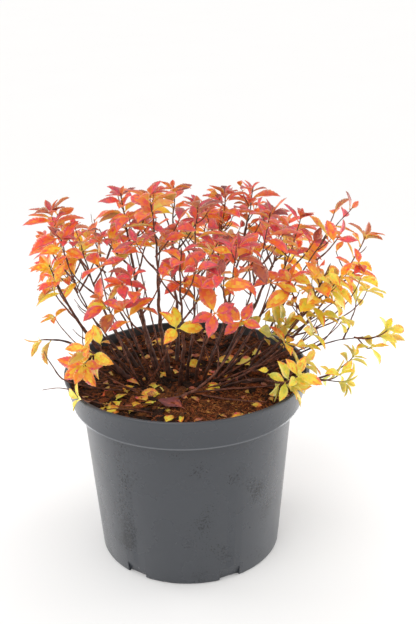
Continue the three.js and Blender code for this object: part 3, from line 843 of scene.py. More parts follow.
def leaf_marks(leaf, u, chance):
    """The tint of each face: yellower at the midrib and the base, riper at the margin and the tip."""
    sides = len(ACROSS)
    share = ((u[:-1] + u[1:]) / 2)[:, None]
    ring, place = np.arange(len(share))[:, None], np.arange(sides)[None, :]
    tone = np.where(UNDER_FACES == 1, leaf["under"], leaf["upper"])[None, :]
    uneven = UNEVEN["least"] + UNEVEN["range"] * chance[5]
    blotch = np.sin(BLOTCH["along"] * share + FULL_TURN * chance[7])
    blotch = blotch * np.sin(BLOTCH["round"] * place + FULL_TURN * chance[4])
    fleck = np.sin(FLECK["along"] * share + FLECK["round"] * place + FULL_TURN * chance[5])
    zones = tone + uneven * (UNEVEN["base"] * (1 - share) ** UNEVEN["fade"] - UNEVEN["mean"])
    zones = zones + BLOTCH["depth"] * (blotch + FLECK["depth"] * fleck)
    midrib = MARGIN["midrib"] + MARGIN["range"] * chance[6]
    zones = zones + np.where(OUTER == 1, -MARGIN["riper"], midrib)[None, :] * (MARGIN["least"] + share)
    # Spots of a riper tint freckle the blade, the yellow ones the most.
    spot = np.sin(SPOT["along"] * ring + SPOT["round"] * place + SPOT["shift"] * chance[1])
    zones = zones - SPOT["depth"] * (spot > (SPOT["many"] if leaf["upper"] > SPOT["yellow"] else SPOT["few"]))
    # Yellow hardly turns any further towards green.
    zones = np.minimum(zones, FULL_YELLOW + GREENING * (zones - FULL_YELLOW))
    bright, dull = TINT_STEPS * (len(TINTS) - 1), TINT_STEPS * (len(DULL_TINTS) - 1)
    if leaf.get("dull"):
        flat = np.clip(np.round(zones * dull / FULL_YELLOW), 0, dull).astype(int) + bright + 1
    else:
        flat = np.clip(np.round(zones * TINT_STEPS), 0, bright).astype(int)
    flat = flat + (bright + dull + 2) * UNDER_FACES[None, :]
    return np.concatenate([flat.ravel(), flat[-1], np.full(sides - 2, flat[0, 1])])


def leaf_outline(leaf, shrub):
    """A leaf's coarse outline, a fold of eight triangles, for the room check."""
    length = leaf["length"]
    half = shrub.leaf_width * length / 2
    droop = shrub.leaf_droop * OUTLINE_BEND
    a, f = np.array(leaf["along"]), np.array(leaf["face"])
    s = np.cross(f, a)
    root = np.array(leaf["root"])
    spots = []
    for share, width in OUTLINE:
        fall = droop * length * (share * share / 2 - BEND["held"] * share)
        middle = root + a * length * share - f * fall
        rise = f * half * width * shrub.leaf_fold
        spots += [middle - s * half * width + rise, middle, middle + s * half * width + rise]
    fall = droop * length * OUTLINE_TIP["fall"]
    spots.append(root + a * length * OUTLINE_TIP["at"] - f * fall)
    return np.array(spots), OUTLINE_FACES


def in_gap(leaf):
    """Would this leaf close a gap that one sees through?"""
    off = leaf["root"] + leaf["along"] * leaf["length"] / 2 - EYE
    for across, up, radius in GAPS:
        sight = (Vector((across, 0, up)) - EYE).normalized()
        if (off - sight * off.dot(sight)).length < radius:
            return True
    return False


def turned(leaf, turn, tilt):
    """The same leaf turned a little round its stem and tilted, to slip past a neighbour."""
    moved = dict(leaf)
    for key in ("along", "face"):
        spot = leaf[key].copy()
        spot.rotate(Quaternion(leaf["axis"], turn))
        moved[key] = spot
    side = moved["face"].cross(moved["along"])
    for key in ("along", "face"):
        moved[key].rotate(Quaternion(side, tilt))
    return moved


# ---- The whole shrub ----
GROWTH = {}
# How a leaf's tint runs with its height, in millimetres, with its place on its shoot and by chance.
RIPENING = {"from": 170, "over": 90, "height": 0.9, "base": 2.3, "tip": 0.9, "aloft": 3.7, "under": 1.2}
TINT_SCATTER = {"low": 2.6, "ripe": 5.4, "steadied": 2.2, "yellow": 3.2, "yellow_from": 8, "shoot": 1.6}
LIMB_SHARE = 0.2    # the first part of a twig, which lies inside the limb that bears it
ROD = {"cane": 1.0, "shoot": 0.5, "cane_steps": 16}     # the rods that stand for stems in the room check
# How a leaf is turned about its stem and tilted, in radians, until it finds room.
TRIALS = ((0, 0), (0.35, 0), (-0.35, 0), (0, 0.3), (0.7, 0.2), (-0.7, 0.2), (0, -0.3))


def spurs_on(stem, count, leaf_count, roll, longest):
    """Short spurs between a shoot's leaves, each with a few small leaves."""
    made = []
    heading = roll() * 2 * math.pi
    for n in range(count):
        share = SPUR_PLACES["first"] + SPUR_PLACES["over"] * (n + SPUR_PLACES["scatter"] * roll()) / count
        length = longest * dealt(SPUR_SIZE, roll)
        spur = side_twig(stem, share, heading + n * GOLDEN_ANGLE, length, dealt(SPUR_OPENING, roll))
        leaves = leaves_on(spur, leaf_count, LEAFY["spur"], roll) if leaf_count else []
        made.append({"stem": spur, "leaves": leaves, "kind": "spur"})
    return made


def clothed(plant):
    """A cane's shoots with all that the rule leaves out: finer twigs, and as many leaves as in life."""
    roll, fullness = plant["roll"], plant["fullness"]
    leader = plant["shoots"][0]
    crown = portion(leader["stem"].point(1).z, CROWN["level"], CROWN["span"]) * (plant["habit"] == "upright")
    if fullness < SPARSE:
        del plant["shoots"][1:]
    for rank, shoot in enumerate(plant["shoots"]):
        shoot["kind"] = "leader" if rank == 0 else "twig"
        shoot["leaves"] = [
            leaf for leaf in shoot["leaves"]
            if roll() < fullness**0.5 * (KEPT_LOW + leaf["share"]) + crown * leaf["share"] ** 2]
        if plant["habit"] == "low":
            for leaf in shoot["leaves"]:
                leaf["length"] *= LOW_SIZE
        extra = round(EXTRA_LEAVES * fullness * len(shoot["leaves"]))
        shoot["leaves"] += leaves_on(shoot["stem"], extra, LEAFY[shoot["kind"]], roll)
        shoot["leaves"] += whorl_on(shoot["stem"], TIP_COUNT[plant["habit"]], TIP_LEAVES, roll)
    leader["leaves"] += leaves_on(leader["stem"], round(CROWN["leaves"] * crown), CROWN["from"], roll)
    top = Stem(*leader["stem"].curve, (1 + leader["stem"].start) / 2, 1.0)
    spurs = spurs_on(top, round(CROWN["spurs"] * crown), SPUR["leaves"], roll, SPUR["length"])
    for shoot in plant["shoots"]:
        count = round(fullness * SPUR_COUNT[shoot["kind"]])
        spurs += spurs_on(shoot["stem"], count, SPUR["leaves"], roll, SPUR["length"])
    bare = Stem(*plant["stem"].curve, BARE_TWIG["from"], plant["split"])
    return plant["shoots"] + spurs + spurs_on(bare, plant["bare_twigs"], 0, roll, BARE_TWIG["length"])


def low_shoots(roll):
    """The shoots from low on the clump, each with a whorl of leaves or none."""
    made = []
    for foot, bend, tip, count, length, tint, girth in LOW_SHOOTS:
        stem = Stem(Vector(foot), Vector(bend), Vector(tip))
        leaves = whorl_on(stem, count, {**LOW_WHORL, "length": length}, roll)
        made.append({"stem": stem, "leaves": leaves, "kind": "low", "tint": TINT_OF[tint], "girth": girth})
    return made


def seated(foot, limbs):
    """Where a low shoot springs from: the mix if that is near, or else the nearest limb."""
    level = mix_heap(foot.x, foot.y)
    if foot.z < level + LOW_ROOTED:
        return Vector((foot.x, foot.y, level))
    spots = (limb.point(n / LIMB_SPOTS) for limb in limbs for n in range(LIMB_SPOTS + 1))
    return min(spots, key=lambda spot: (spot - foot).length)


def tone_of(leaf, shoot, roll):
    """A leaf's tints above and beneath, and whether it is dull: riper towards its shoot's tip and high on the
    shrub, yellower low and within."""
    share, low = leaf["share"], shoot["kind"] == "low"
    level = portion(leaf["root"].z, RIPENING["from"], RIPENING["over"])
    aloft = level**2 * share**2 if shoot["kind"] in ("leader", "twig") else 0
    scatter = TINT_SCATTER["ripe"] - TINT_SCATTER["steadied"] * aloft
    if low or shoot["tint"] >= TINT_SCATTER["yellow_from"]:
        scatter = TINT_SCATTER["low" if low else "yellow"]
    tone = (
        shoot["tint"] + scatter * (roll() - 0.5) + RIPENING["base"] * (1 - share)
        - RIPENING["tip"] * share + RIPENING["height"] * (0.5 - level))
    dull = not low and roll() < DULL_SHARE["least"] + DULL_SHARE["aloft"] * level**2 * share
    return tone - RIPENING["aloft"] * aloft, tone + RIPENING["under"], dull


def full_growth(shrub):
    """Every shoot and leaf that finds room, grown once and then drawn by the operators."""
    if GROWTH:
        return GROWTH
    room = Room()
    plants = grow(shrub.seed)
    roll = dice(len(CANES), shrub.seed)
    for plant in plants:
        plant["bare_twigs"] = shrub.bare_twigs
        room.add(*stem_outline(plant["stem"], ROD["cane"], ROD["cane_steps"]), ("cane", plant["index"]))
    lively = [(plant, shoot) for plant in plants for shoot in clothed(plant)]
    lively += [(None, shoot) for shoot in low_shoots(roll)]
    stems, leaves = [], []
    for rank, (plant, shoot) in enumerate(lively):
        shoot["owner"] = ("shoot", rank)
        shoot["plant"] = plant["index"] if plant else 0
        if plant:
            shoot["tint"] = plant["tint"] + TINT_SCATTER["shoot"] * (roll() - 0.5)
        if shoot["kind"] == "leader":
            shoot["owner"] = ("cane", plant["index"])
        elif not plant:
            foot, bend, tip = shoot["stem"].curve
            limbs = [plant["stem"] for plant in plants] + [stem["stem"] for stem in stems]
            shoot["stem"] = Stem(seated(foot, limbs), bend, tip)
        else:
            tip = shoot["stem"].point(1)
            outline = stem_outline(Stem(*shoot["stem"].curve, LIMB_SHARE, 1.0), ROD["shoot"])
            if not (clear_of_pot(tip) and in_reach(tip) and room.clear(*outline, shoot["owner"])):
                continue
        if shoot["kind"] != "leader":
            room.add(*stem_outline(shoot["stem"], ROD["shoot"]), shoot["owner"])
        stems.append(shoot)
    for shoot in sorted(stems, key=lambda shoot: shoot["kind"] != "low"):
        for leaf in shoot["leaves"]:
            if shoot["kind"] != "low" and in_gap(leaf):
                continue
            for turn, tilt in TRIALS:
                trial = turned(leaf, turn, tilt) if turn or tilt else leaf
                points, faces = leaf_outline(trial, shrub)
                fits = all(clear_of_pot(p) and in_reach(p) for p in points) or shoot["kind"] == "low"
                if fits and room.clear(points, faces, shoot["owner"]):
                    room.add(points, faces, ("leaf",))
                    trial["upper"], trial["under"], trial["dull"] = tone_of(leaf, shoot, roll)
                    trial["plant"] = shoot["plant"]
                    leaves.append(trial)
                    break
    GROWTH.update(plants=plants, stems=stems, leaves=leaves)
    return GROWTH


# ---- Settings ----
class SpireaPot(bpy.types.PropertyGroup):
    """The nursery pot."""

    segments: IntProperty(
        name="Segments", description="Facets round the pot", default=160, min=48, max=256)
    colour: FloatVectorProperty(
        name="Plastic", description="Colour of the moulded plastic", subtype="COLOR",
        size=3, default=linear(0x3B3E43)[:3], min=0, max=1)
    bead: FloatProperty(
        name="Collar bead", description="How far the bead under the collar stands out",
        default=0.5 * MM, unit="LENGTH", min=0, max=1 * MM)


class SpireaMix(bpy.types.PropertyGroup):
    """The potting mix and what lies on it."""

    relief: FloatProperty(
        name="Relief", description="Height of the crumbs", default=2.1 * MM, unit="LENGTH", min=0, max=4 * MM)
    chips: IntProperty(
        name="Bark chips", description="Pieces of bark on the mix", default=1300, min=0, max=4000)
    fibres: IntProperty(
        name="Coir fibres", description="Fibres on the mix", default=2600, min=0, max=6000)
    seed: IntProperty(name="Seed", description="Seed of the chips and fibres", default=7, min=0)


class SpireaShrub(bpy.types.PropertyGroup):
    """The living plant."""

    seed: IntProperty(name="Seed", description="Seed of the growth rule", default=29, min=0)
    leaf_width: FloatProperty(
        name="Leaf width", description="Width as a share of length", default=0.49, min=0.2, max=0.8)
    petiole: FloatProperty(
        name="Petiole", description="Stalk as a share of the leaf's length", default=0.1, min=0, max=0.3)
    leaf_fold: FloatProperty(
        name="Fold", description="Rise of the blade's margin above its midrib, as a slope",
        default=0.42, min=0, max=1)
    leaf_droop: FloatProperty(
        name="Droop", description="How far a leaf bends down along its length",
        default=0.56, subtype="ANGLE", min=0, max=2)
    leaf_thickness: FloatProperty(
        name="Leaf thickness", description="Thickness of a blade", default=0.28 * MM,
        unit="LENGTH", min=0.1 * MM, max=1 * MM)
    bare_twigs: IntProperty(
        name="Bare twigs", description="Bare twigs on each cane", default=1, min=0, max=10)


class SpireaStage(bpy.types.PropertyGroup):
    """Floor, light and camera."""

    floor_colour: FloatVectorProperty(
        name="Floor", description="Colour of the floor", subtype="COLOR",
        size=3, default=linear(0xEFEEED)[:3], min=0, max=1)
    key_power: FloatProperty(
        name="Key light", description="Strength of the soft light from the left", default=0.86, min=0)
    fill_power: FloatProperty(
        name="Fill light", description="Strength of the soft light from the right", default=0.3, min=0)
    side_power: FloatProperty(
        name="Softboxes", description="Power of each low softbox", default=2.6, unit="POWER", min=0)
    sky: FloatProperty(name="Surround", description="Strength of the white surround", default=0.9, min=0)


# ---- What lies on the mix ----
SURFACE = {"sides": 240, "rows": 100}
# The mix's relief: how wide its heaps, crumbs and grit are, and how high next to each other.
HEAPS = {"wide": 17, "high": 0.8}
CRUMBS = {"wide": 5.5, "high": 1.0}
GRIT = {"wide": 2.1, "high": 0.5}
LITTER_REACH = MIX_EDGE_RADIUS - 6
COIR = {"x": 34, "y": -52, "wide": 36, "deep": 22}
BIG_CHIPS = {"count": 44, "x": -26, "y": -50, "wide": 24, "deep": 15, "least": 5.5, "range": 5.5}
# Bark chips: how many of each five lie in the coir and how close; how long, and how much shorter there; how
# thick, how ragged, how far tipped, how deep in the mix, and how much redder in the coir.
CHIPS = {
    "of_five": 2, "close": 0.8, "least": 1.5, "range": 7.0, "few_long": 2.4, "shorter": 0.72,
    "thick": 0.5, "thicker": 0.25, "ragged": 0.3, "tipped": 1.1, "sunk": 0.1, "redder": 0.5}
CHIP_WIDTH = {"least": 0.22, "range": 0.3}
CHIP_TONES = [0.46, 0.78, 1.16]     # where each brown gives way to the next
CHIP_BROWNS = [
    ("bark_chip_black", 0x100805, 0x362013, 1.5),
    ("bark_chip_brown", 0x3A1F0E, 0x76441C, 1.5),
    ("bark_chip_red", 0x5A2A14, 0x92502A, 1.2),
    ("bark_chip_tan", 0x80501F, 0xCC9450, 1.2),
]
# Coir fibres: how many of each ten lie in the patch and how close; how long, how curled and how arched; how
# far over the mix, which they even out a little, and how far from the wall.
FIBRES = {
    "of_ten": 7, "close_x": 0.8, "close_y": 0.7, "least": 2, "range": 5, "few_long": 1.7, "curl": 0.6,
    "arch": 0.12, "even": 0.7, "over": 0.5, "from_wall": 1.5, "sides": 4}
FIBRE_RADIUS = {"least": 0.12, "range": 0.16}
FIBRE_TAPER = (0.6, 1, 1, 0.9, 0.5)
FIBRE_BROWNS = [
    ("coir_fibre_red", 0x56260F, 0x8A4420, 1.0),
    ("coir_fibre_brown", 0x341D13, 0x603821, 1.0),
    ("coir_fibre_light", 0x84481F, 0xC07A44, 1.0),
]
# A bark chip: a low keeled lozenge, its points as shares of its half length, half width and height.
CHIP = np.array([
    (-1, 0, 0), (-0.55, -0.8, 0.1), (-0.55, 0.7, 0), (0.4, -1, 0), (0.5, 0.9, 0.1), (1, 0.1, 0),
    (-0.8, 0, 0.7), (-0.4, -0.5, 1), (-0.4, 0.45, 0.9), (0.35, -0.6, 0.95), (0.4, 0.55, 1), (0.8, 0.05, 0.7),
])
CHIP_FACES = [
    [(0, 1, 7, 6), (1, 3, 9, 7), (3, 5, 11, 9), (5, 4, 10, 11), (4, 2, 8, 10), (2, 0, 6, 8)],
    [(7, 9, 10), (7, 10, 8), (7, 8, 6), (9, 11, 10)],
    [(1, 2, 3), (3, 2, 4), (0, 2, 1), (3, 4, 5)],
]
# The fallen leaves that lie apart: place on the mix, length, tint and heading in degrees.
FALLEN = [
    (-55, 53, 12, 9.2, 20), (-25, 60, 14, 10.2, 150), (5, 18, 15, 10.2, 12), (32, 27, 21, 9.2, 10),
    (44, 24, 25, 10.2, 120), (19, 2, 11, 5.4, 40), (20, -23, 14, 9.2, 160), (-41, -10, 16, 7, 130),
    (-23, -18, 15, 10.2, 75), (-27, -32, 16, 9.2, 170), (-58, -27, 16, 3.6, 35), (-49, -36, 14, 10.2, 65),
    (-33, -40, 16, 6.6, 125), (-11, -49, 24, 0.2, 150), (-59, -47, 11, 10.2, 100), (-53, -57, 15, 9.2, 45),
    (-32, -72, 10, 10.2, 20), (-12, -73, 12, 10.2, 70), (37, -68, 10, 7, 30), (56, 40, 14, 10.2, 60),
]
# Smaller ones dealt over the mix, and brown scraps of old ones: how many, how long, how far out, what tint.
LITTER = {"count": 22, "least": 6, "range": 7, "reach": 80, "tint": 8.2, "turn": 2.6}
CRUMBLED = {"count": 80, "least": 3.5, "range": 5, "reach": 84, "tint": 3.5, "turn": 6}
BROWNED = 1         # a fallen leaf with a tint below this is brown through, and lies face up
# How a leaf lies: how far it tips, the share that lies face up, how far it rolls, and its middle's height.
LYING = {"pitch": 0.3, "face_up": 0.75, "roll": 0.7, "height": 1.6}
LYING_LEAF = {"broad": 1.25, "bow": 0.5, "fold": 0.22}
PALER_BENEATH = 0.6


def crumb_height(x, y, relief):
    """The mix's surface above its level: soft heaps, then crumbs, then grit."""
    heap = noise.noise(Vector((x / HEAPS["wide"], y / HEAPS["wide"], 3.1))) * HEAPS["high"]
    crumb = 0.5 - noise.voronoi(Vector((x / CRUMBS["wide"], y / CRUMBS["wide"], 7.7)))[0][0]
    grit = 0.5 - noise.voronoi(Vector((x / GRIT["wide"], y / GRIT["wide"], 1.3)))[0][0]
    return relief * (heap + CRUMBS["high"] * crumb + GRIT["high"] * grit)


def mix_height(x, y, relief):
    """The height of the mix's crumbly surface."""
    return mix_heap(x, y) + crumb_height(x, y, relief)


def on_mix(rng, reach):
    """A random place on the mix."""
    radius = reach * math.sqrt(rng.random())
    angle = rng.random() * 2 * math.pi
    return radius * math.cos(angle), radius * math.sin(angle)


def strewn(rng, patch, close_x=1, close_y=1):
    """A random place about the middle of a patch."""
    x = patch["x"] + patch["wide"] * close_x * rng.normal()
    return x, patch["y"] + patch["deep"] * close_y * rng.normal()


def coir_patch(x, y):
    """How much of the mix is loose red coir here: most at the front right."""
    return math.exp(-(((x - COIR["x"]) / COIR["wide"]) ** 2) - ((y - COIR["y"]) / COIR["deep"]) ** 2)


# ---- Canes and twigs ----
SEEDS = {"canes": 11, "twigs": 12, "leaves": 13}
LEFT_OF, RIGHT_OF = -30, 50     # a cane whose tip lies further out bears leaves of the left or right piece
LEAF_SHARP = 50
# Nodes on a stem: how far apart, how much it swells there and over what length, and how far it zigzags.
CANE_NODES = {"apart": 9.5, "swell": 0.2, "long": 1.3, "zigzag": 0.4}
TWIG_NODES = {"apart": 8.5, "swell": 0.22, "long": 1.1, "zigzag": 0.32}
# How a stem is drawn: its sides, the spacing of its rings and the fewest of them, how many ridges its bark
# has, how high, and how rough it is between them. It runs plain at its root, and sways fully one over
# "from" further on.
CANE_FORM = {"sides": 10, "ring": 1.4, "rings": 30, "ridges": 3, "ridge": 0.07, "rough": 0.08, "from": 5}
TWIG_FORM = {"sides": 7, "ring": 1.6, "rings": 6, "ridges": 3, "ridge": 0.05, "rough": 0.05, "from": 4}
RIDGE_PHASE = 6
# A cane sways in long bends, and starts some way down in the mix. Few are stout, and all thin out upwards.
SWAY = {"long": 19, "far": 1.5}
CANE_DEPTH = 4
CANE_STOUT = {"least": 0.52, "range": 0.85, "few": 1.5, "thins": 0.3, "foot": 1.1}
CANE_RIDGE_DRIFT = 2.5
CANE_END = 2.2


def node_names(kind, numbers):
    """The CAD nodes of these canes."""
    return [f"{kind}_{n + 1:02d}" for n in numbers]


def swelling(seats, nodes):
    """How much a stem swells at its nodes, which lie at the whole seats."""
    return nodes["swell"] * np.exp(-((seats - np.round(seats)) * nodes["apart"] / nodes["long"]) ** 2)


def ridged(line, form, drift, rng):
    """The bark's ridges and roughness round a stem, as a factor for its radius at each point."""
    turn = turns(form["sides"])[None, :]
    ridge = 1 + form["ridge"] * np.sin(form["ridges"] * turn + drift + rng.random() * RIDGE_PHASE)
    return ridge + form["rough"] * (rng.random((len(line), form["sides"])) - 0.5)


def rings_along(stem, form):
    """A stem's length, the shares at which its rings stand, and its line."""
    length = stem.length()
    shares = np.linspace(0, 1, max(form["rings"], int(length / form["ring"])) + 1)
    return length, shares, np.array([stem.point(share) for share in shares])


def twig_tube(stem, root_radius, tip_radius, rng):
    """A twig with swollen nodes, shallow ridges and a slight zigzag, all less than the bark is thick."""
    length, shares, line = rings_along(stem, TWIG_FORM)
    across = np.array(stem.across)
    seats = shares * length / TWIG_NODES["apart"]
    zigzag = np.sin(np.pi * seats) * TWIG_NODES["zigzag"] * np.clip(shares * TWIG_FORM["from"], 0, 1)
    line += across * zigzag[:, None]
    radii = root_radius + (tip_radius - root_radius) * shares
    radii = radii * (1 + swelling(seats, TWIG_NODES) * (shares > 0))
    ridge = ridged(line, TWIG_FORM, 0, rng)
    return tube(line, across, radii, TWIG_FORM["sides"], ridge, tip=tip_radius * 3)


def cane_tube(plant, rng):
    """A cane from down in the mix to the tip of its leader, with its nodes, bends and ridges."""
    stem, split, girth = plant["stem"], plant["split"], plant["girth"]
    foot, bend, _ = stem.curve
    below = foot - (bend - foot).normalized() * CANE_DEPTH
    length, shares, line = rings_along(stem, CANE_FORM)
    lower = (CANE["tip"] + (CANE["foot"] - CANE["tip"]) * (1 - shares / split)) * girth
    upper = (shares - split) / (1 - split)
    upper = LEADER["tip"] + (LEADER["root"] * girth - LEADER["tip"]) * (1 - upper)
    radii = np.where(shares < split, lower, upper) * (1 - CANE_STOUT["thins"] * shares)
    radii = radii * (CANE_STOUT["least"] + CANE_STOUT["range"] * rng.random() ** CANE_STOUT["few"])
    seats = shares * length / CANE_NODES["apart"]
    crook = np.sin(np.pi * seats) * CANE_NODES["zigzag"]
    crook = crook + np.sin(shares * length / SWAY["long"] + FULL_TURN * rng.random()) * SWAY["far"]
    line += np.array(stem.across) * (crook * np.clip(shares * CANE_FORM["from"], 0, 1))[:, None]
    line = np.vstack([np.array(below)[None], line])
    radii = np.concatenate([[radii[0] * CANE_STOUT["foot"]], radii * (1 + swelling(seats, CANE_NODES))])
    drift = np.linspace(0, CANE_RIDGE_DRIFT, len(line))[:, None]
    ridge = ridged(line, CANE_FORM, drift, rng)
    return tube(line, stem.across, radii, CANE_FORM["sides"], ridge, tip=CANE_END)


# ---- The pot ----
POT_SHARP = 28          # edges sharper than this many degrees stay crisp
INSIDE_SHADE = 0.3            # how bright the plastic is inside the pot: painted shade that darkens the whole inside
LEAST_POT_FACES = 1000  # a pot with fewer lost its wall in the cut


def drain_cutters():
    """One mesh of the wedges and rods that the drainage notches and holes are cut with."""
    batch = Batch()
    corners = np.array([(x, y, z) for x in (-1, 1) for y in (-1, 1) for z in (-1, 1)], float)
    box = np.array([(0, 1, 3, 2), (4, 6, 7, 5), (0, 4, 5, 1), (2, 3, 7, 6), (0, 2, 6, 4), (1, 5, 7, 3)])
    notch = DRAIN_NOTCHES
    lean = Matrix.Rotation(math.radians(notch["lean"]), 3, "Y")
    for n in range(notch["count"]):
        spin = Matrix.Rotation(math.radians(notch["first"] + n * 360 / notch["count"]), 3, "Z")
        half = (notch["depth"], notch["width"] / 2, notch["height"])
        spots = []
        for corner in corners:
            spot = lean @ Vector([c * h for c, h in zip(corner, half)])
            spot.x += BASE_RADIUS + notch["depth"] / 4
            spots.append(spin @ spot)
        batch.add(np.array(spots), [box])
    hole = DRAIN_HOLES
    for n in range(hole["count"]):
        angle = math.radians(hole["first"] + n * 360 / hole["count"])
        x, y = hole["ring"] * math.cos(angle), hole["ring"] * math.sin(angle)
        rod = [(x, y, -2), (x, y, 3), (x, y, 8)]
        batch.add(*tube(rod, (1, 0, 0), [hole["radius"]] * len(rod), hole["sides"]))
    return batch.drawn("drain_cutters")


# ---- The stage ----
FLOOR_HALF, FLOOR_SINK = 14000, 0.2     # millimetres
CLIP = (0.02, 60)
SUN_WIDTH = 50          # degrees of sky that a soft light comes from
SOFTBOX_SIZE = (0.4, 0.24)              # metres
LIT_POINT = Vector((0, 0, 0.1))


# ---- Operators ----
class SPIREA_OT_pot(bpy.types.Operator):
    """Turn the pot from its profile and cut its drainage notches and holes"""

    bl_idname = "spirea.pot"
    bl_label = "Nursery pot"

    def execute(self, context):
        pot = context.scene.spirea_pot
        bead = pot.bead / MM
        collar, inner_collar = COLLAR_FOOT_RADIUS, COLLAR_FOOT_RADIUS - WALL
        lip = RIM_RADIUS - RIM_LIP
        profile = [
            # The underside of the floor, and the ring that the pot stands on.
            (0, 0.9), (BASE_RADIUS - 8, 0.9), (BASE_RADIUS - 7.2, 0.0), (BASE_RADIUS - 1.6, 0.0),
            (BASE_RADIUS - 0.5, 0.35), (BASE_RADIUS, 1.3),
            # The wall, flared out to the collar.
            (SHOULDER_RADIUS - 0.25, COLLAR_FOOT - 3), (SHOULDER_RADIUS + 0.4, COLLAR_FOOT - 0.8),
            (SHOULDER_RADIUS + 1.4, COLLAR_FOOT), (collar - 0.7, COLLAR_FOOT - 0.1),
            # The bead along the collar's lower edge.
            (collar + bead * 0.7, COLLAR_FOOT + 0.1), (collar + bead, COLLAR_FOOT + 0.4),
            (collar + bead * 0.5, COLLAR_FOOT + 1.0), (collar + 0.2, COLLAR_FOOT + 1.4),
            # The rim, rounded over.
            (RIM_RADIUS - 0.35, POT_HEIGHT - 2.4), (RIM_RADIUS, POT_HEIGHT - 1.4),
            (RIM_RADIUS - 0.1, POT_HEIGHT - 0.6), (RIM_RADIUS - 0.6, POT_HEIGHT - 0.1),
            (RIM_RADIUS - 1.2, POT_HEIGHT), (lip + 0.6, POT_HEIGHT),
            # Down the inside to the floor.
            (lip + 0.1, POT_HEIGHT - 0.3), (lip - 0.2, POT_HEIGHT - 1.0),
            (inner_collar, COLLAR_FOOT + WALL), (inner_collar - 0.8, COLLAR_FOOT + WALL - 0.9),
            (SHOULDER_RADIUS - WALL, COLLAR_FOOT - WALL),
            (CORNER_RADIUS - WALL, CORNER["height"]), (CORNER_RADIUS - WALL - 2.2, CORNER["height"] - 7),
            (BASE_RADIUS - CORNER["inset"], FLOOR), (0, FLOOR),
        ]
        inside_from = profile.index((lip + 0.1, POT_HEIGHT - 0.3))
        batch = Batch()
        rows = [circle(radius, height, pot.segments) for radius, height in profile[1:-1]]
        points, faces = turned_solid(rows, profile[0][1], profile[-1][1])
        rings = np.arange(len(faces[0])) // pot.segments + 1
        # Faces inside the pot, walls and floor, take the second plastic, darkened as painted shade.
        marks = np.concatenate([rings >= inside_from, np.zeros(pot.segments), np.ones(pot.segments)])
        batch.add(points, faces, marks)
        plastics = [
            pot_plastic("moulded_polypropylene", pot.colour, (0.22, 0.33)),
            pot_plastic("polypropylene_painted_shade_inside", [INSIDE_SHADE * part for part in pot.colour], (0.6, 0.8)),
        ]
        piece = batch.piece("nursery_pot", plastics, "pot_plastic", ["pot"], sharp=POT_SHARP)
        cutters = drain_cutters()
        carve = piece.modifiers.new("drainage", "BOOLEAN")
        carve.operation, carve.solver, carve.object = "DIFFERENCE", "MANIFOLD", cutters
        depsgraph = context.evaluated_depsgraph_get()
        carved = bpy.data.meshes.new_from_object(piece.evaluated_get(depsgraph))
        piece.modifiers.clear()
        piece.data = carved
        carved.name = "nursery_pot"
        bpy.data.objects.remove(cutters)
        carved.set_sharp_from_angle(angle=math.radians(POT_SHARP))
        if len(carved.polygons) < LEAST_POT_FACES:
            raise RuntimeError("the pot lost its shape in the cut")
        return {"FINISHED"}


class SPIREA_OT_mix(bpy.types.Operator):
    """Fill the pot with potting mix up to its mounded, crumbly surface"""

    bl_idname = "spirea.mix"
    bl_label = "Potting mix"

    def execute(self, context):
        settings = context.scene.spirea_mix
        relief = settings.relief / MM
        gap = 2 * CLEARANCE
        wall = [
            (BASE_RADIUS - CORNER["inset"] - gap, FLOOR + CLEARANCE),
            (CORNER_RADIUS - WALL - gap, CORNER["height"] + gap),
            (SHOULDER_RADIUS - WALL - gap, COLLAR_FOOT - WALL + gap),
            (COLLAR_FOOT_RADIUS - WALL - gap, COLLAR_FOOT + WALL + gap),
        ]
        rows = [circle(radius, height, SURFACE["sides"]) for radius, height in wall]
        for n in range(SURFACE["rows"]):
            radius = MIX_EDGE_RADIUS * (1 - n / SURFACE["rows"])
            places = [(radius * math.cos(turn), radius * math.sin(turn)) for turn in turns(SURFACE["sides"])]
            rows.append(np.array([(x, y, mix_height(x, y, relief)) for x, y in places]))
        batch = Batch()
        batch.add(*turned_solid(rows, FLOOR + CLEARANCE, mix_height(0, 0, relief)))
        earth = potting_mix("damp_potting_mix", 0x0C0603, 0x683919, 2.4)
        batch.piece("mix_bed", [earth], "potting_mix", ["potting_mix"], sharp=70)
        return {"FINISHED"}


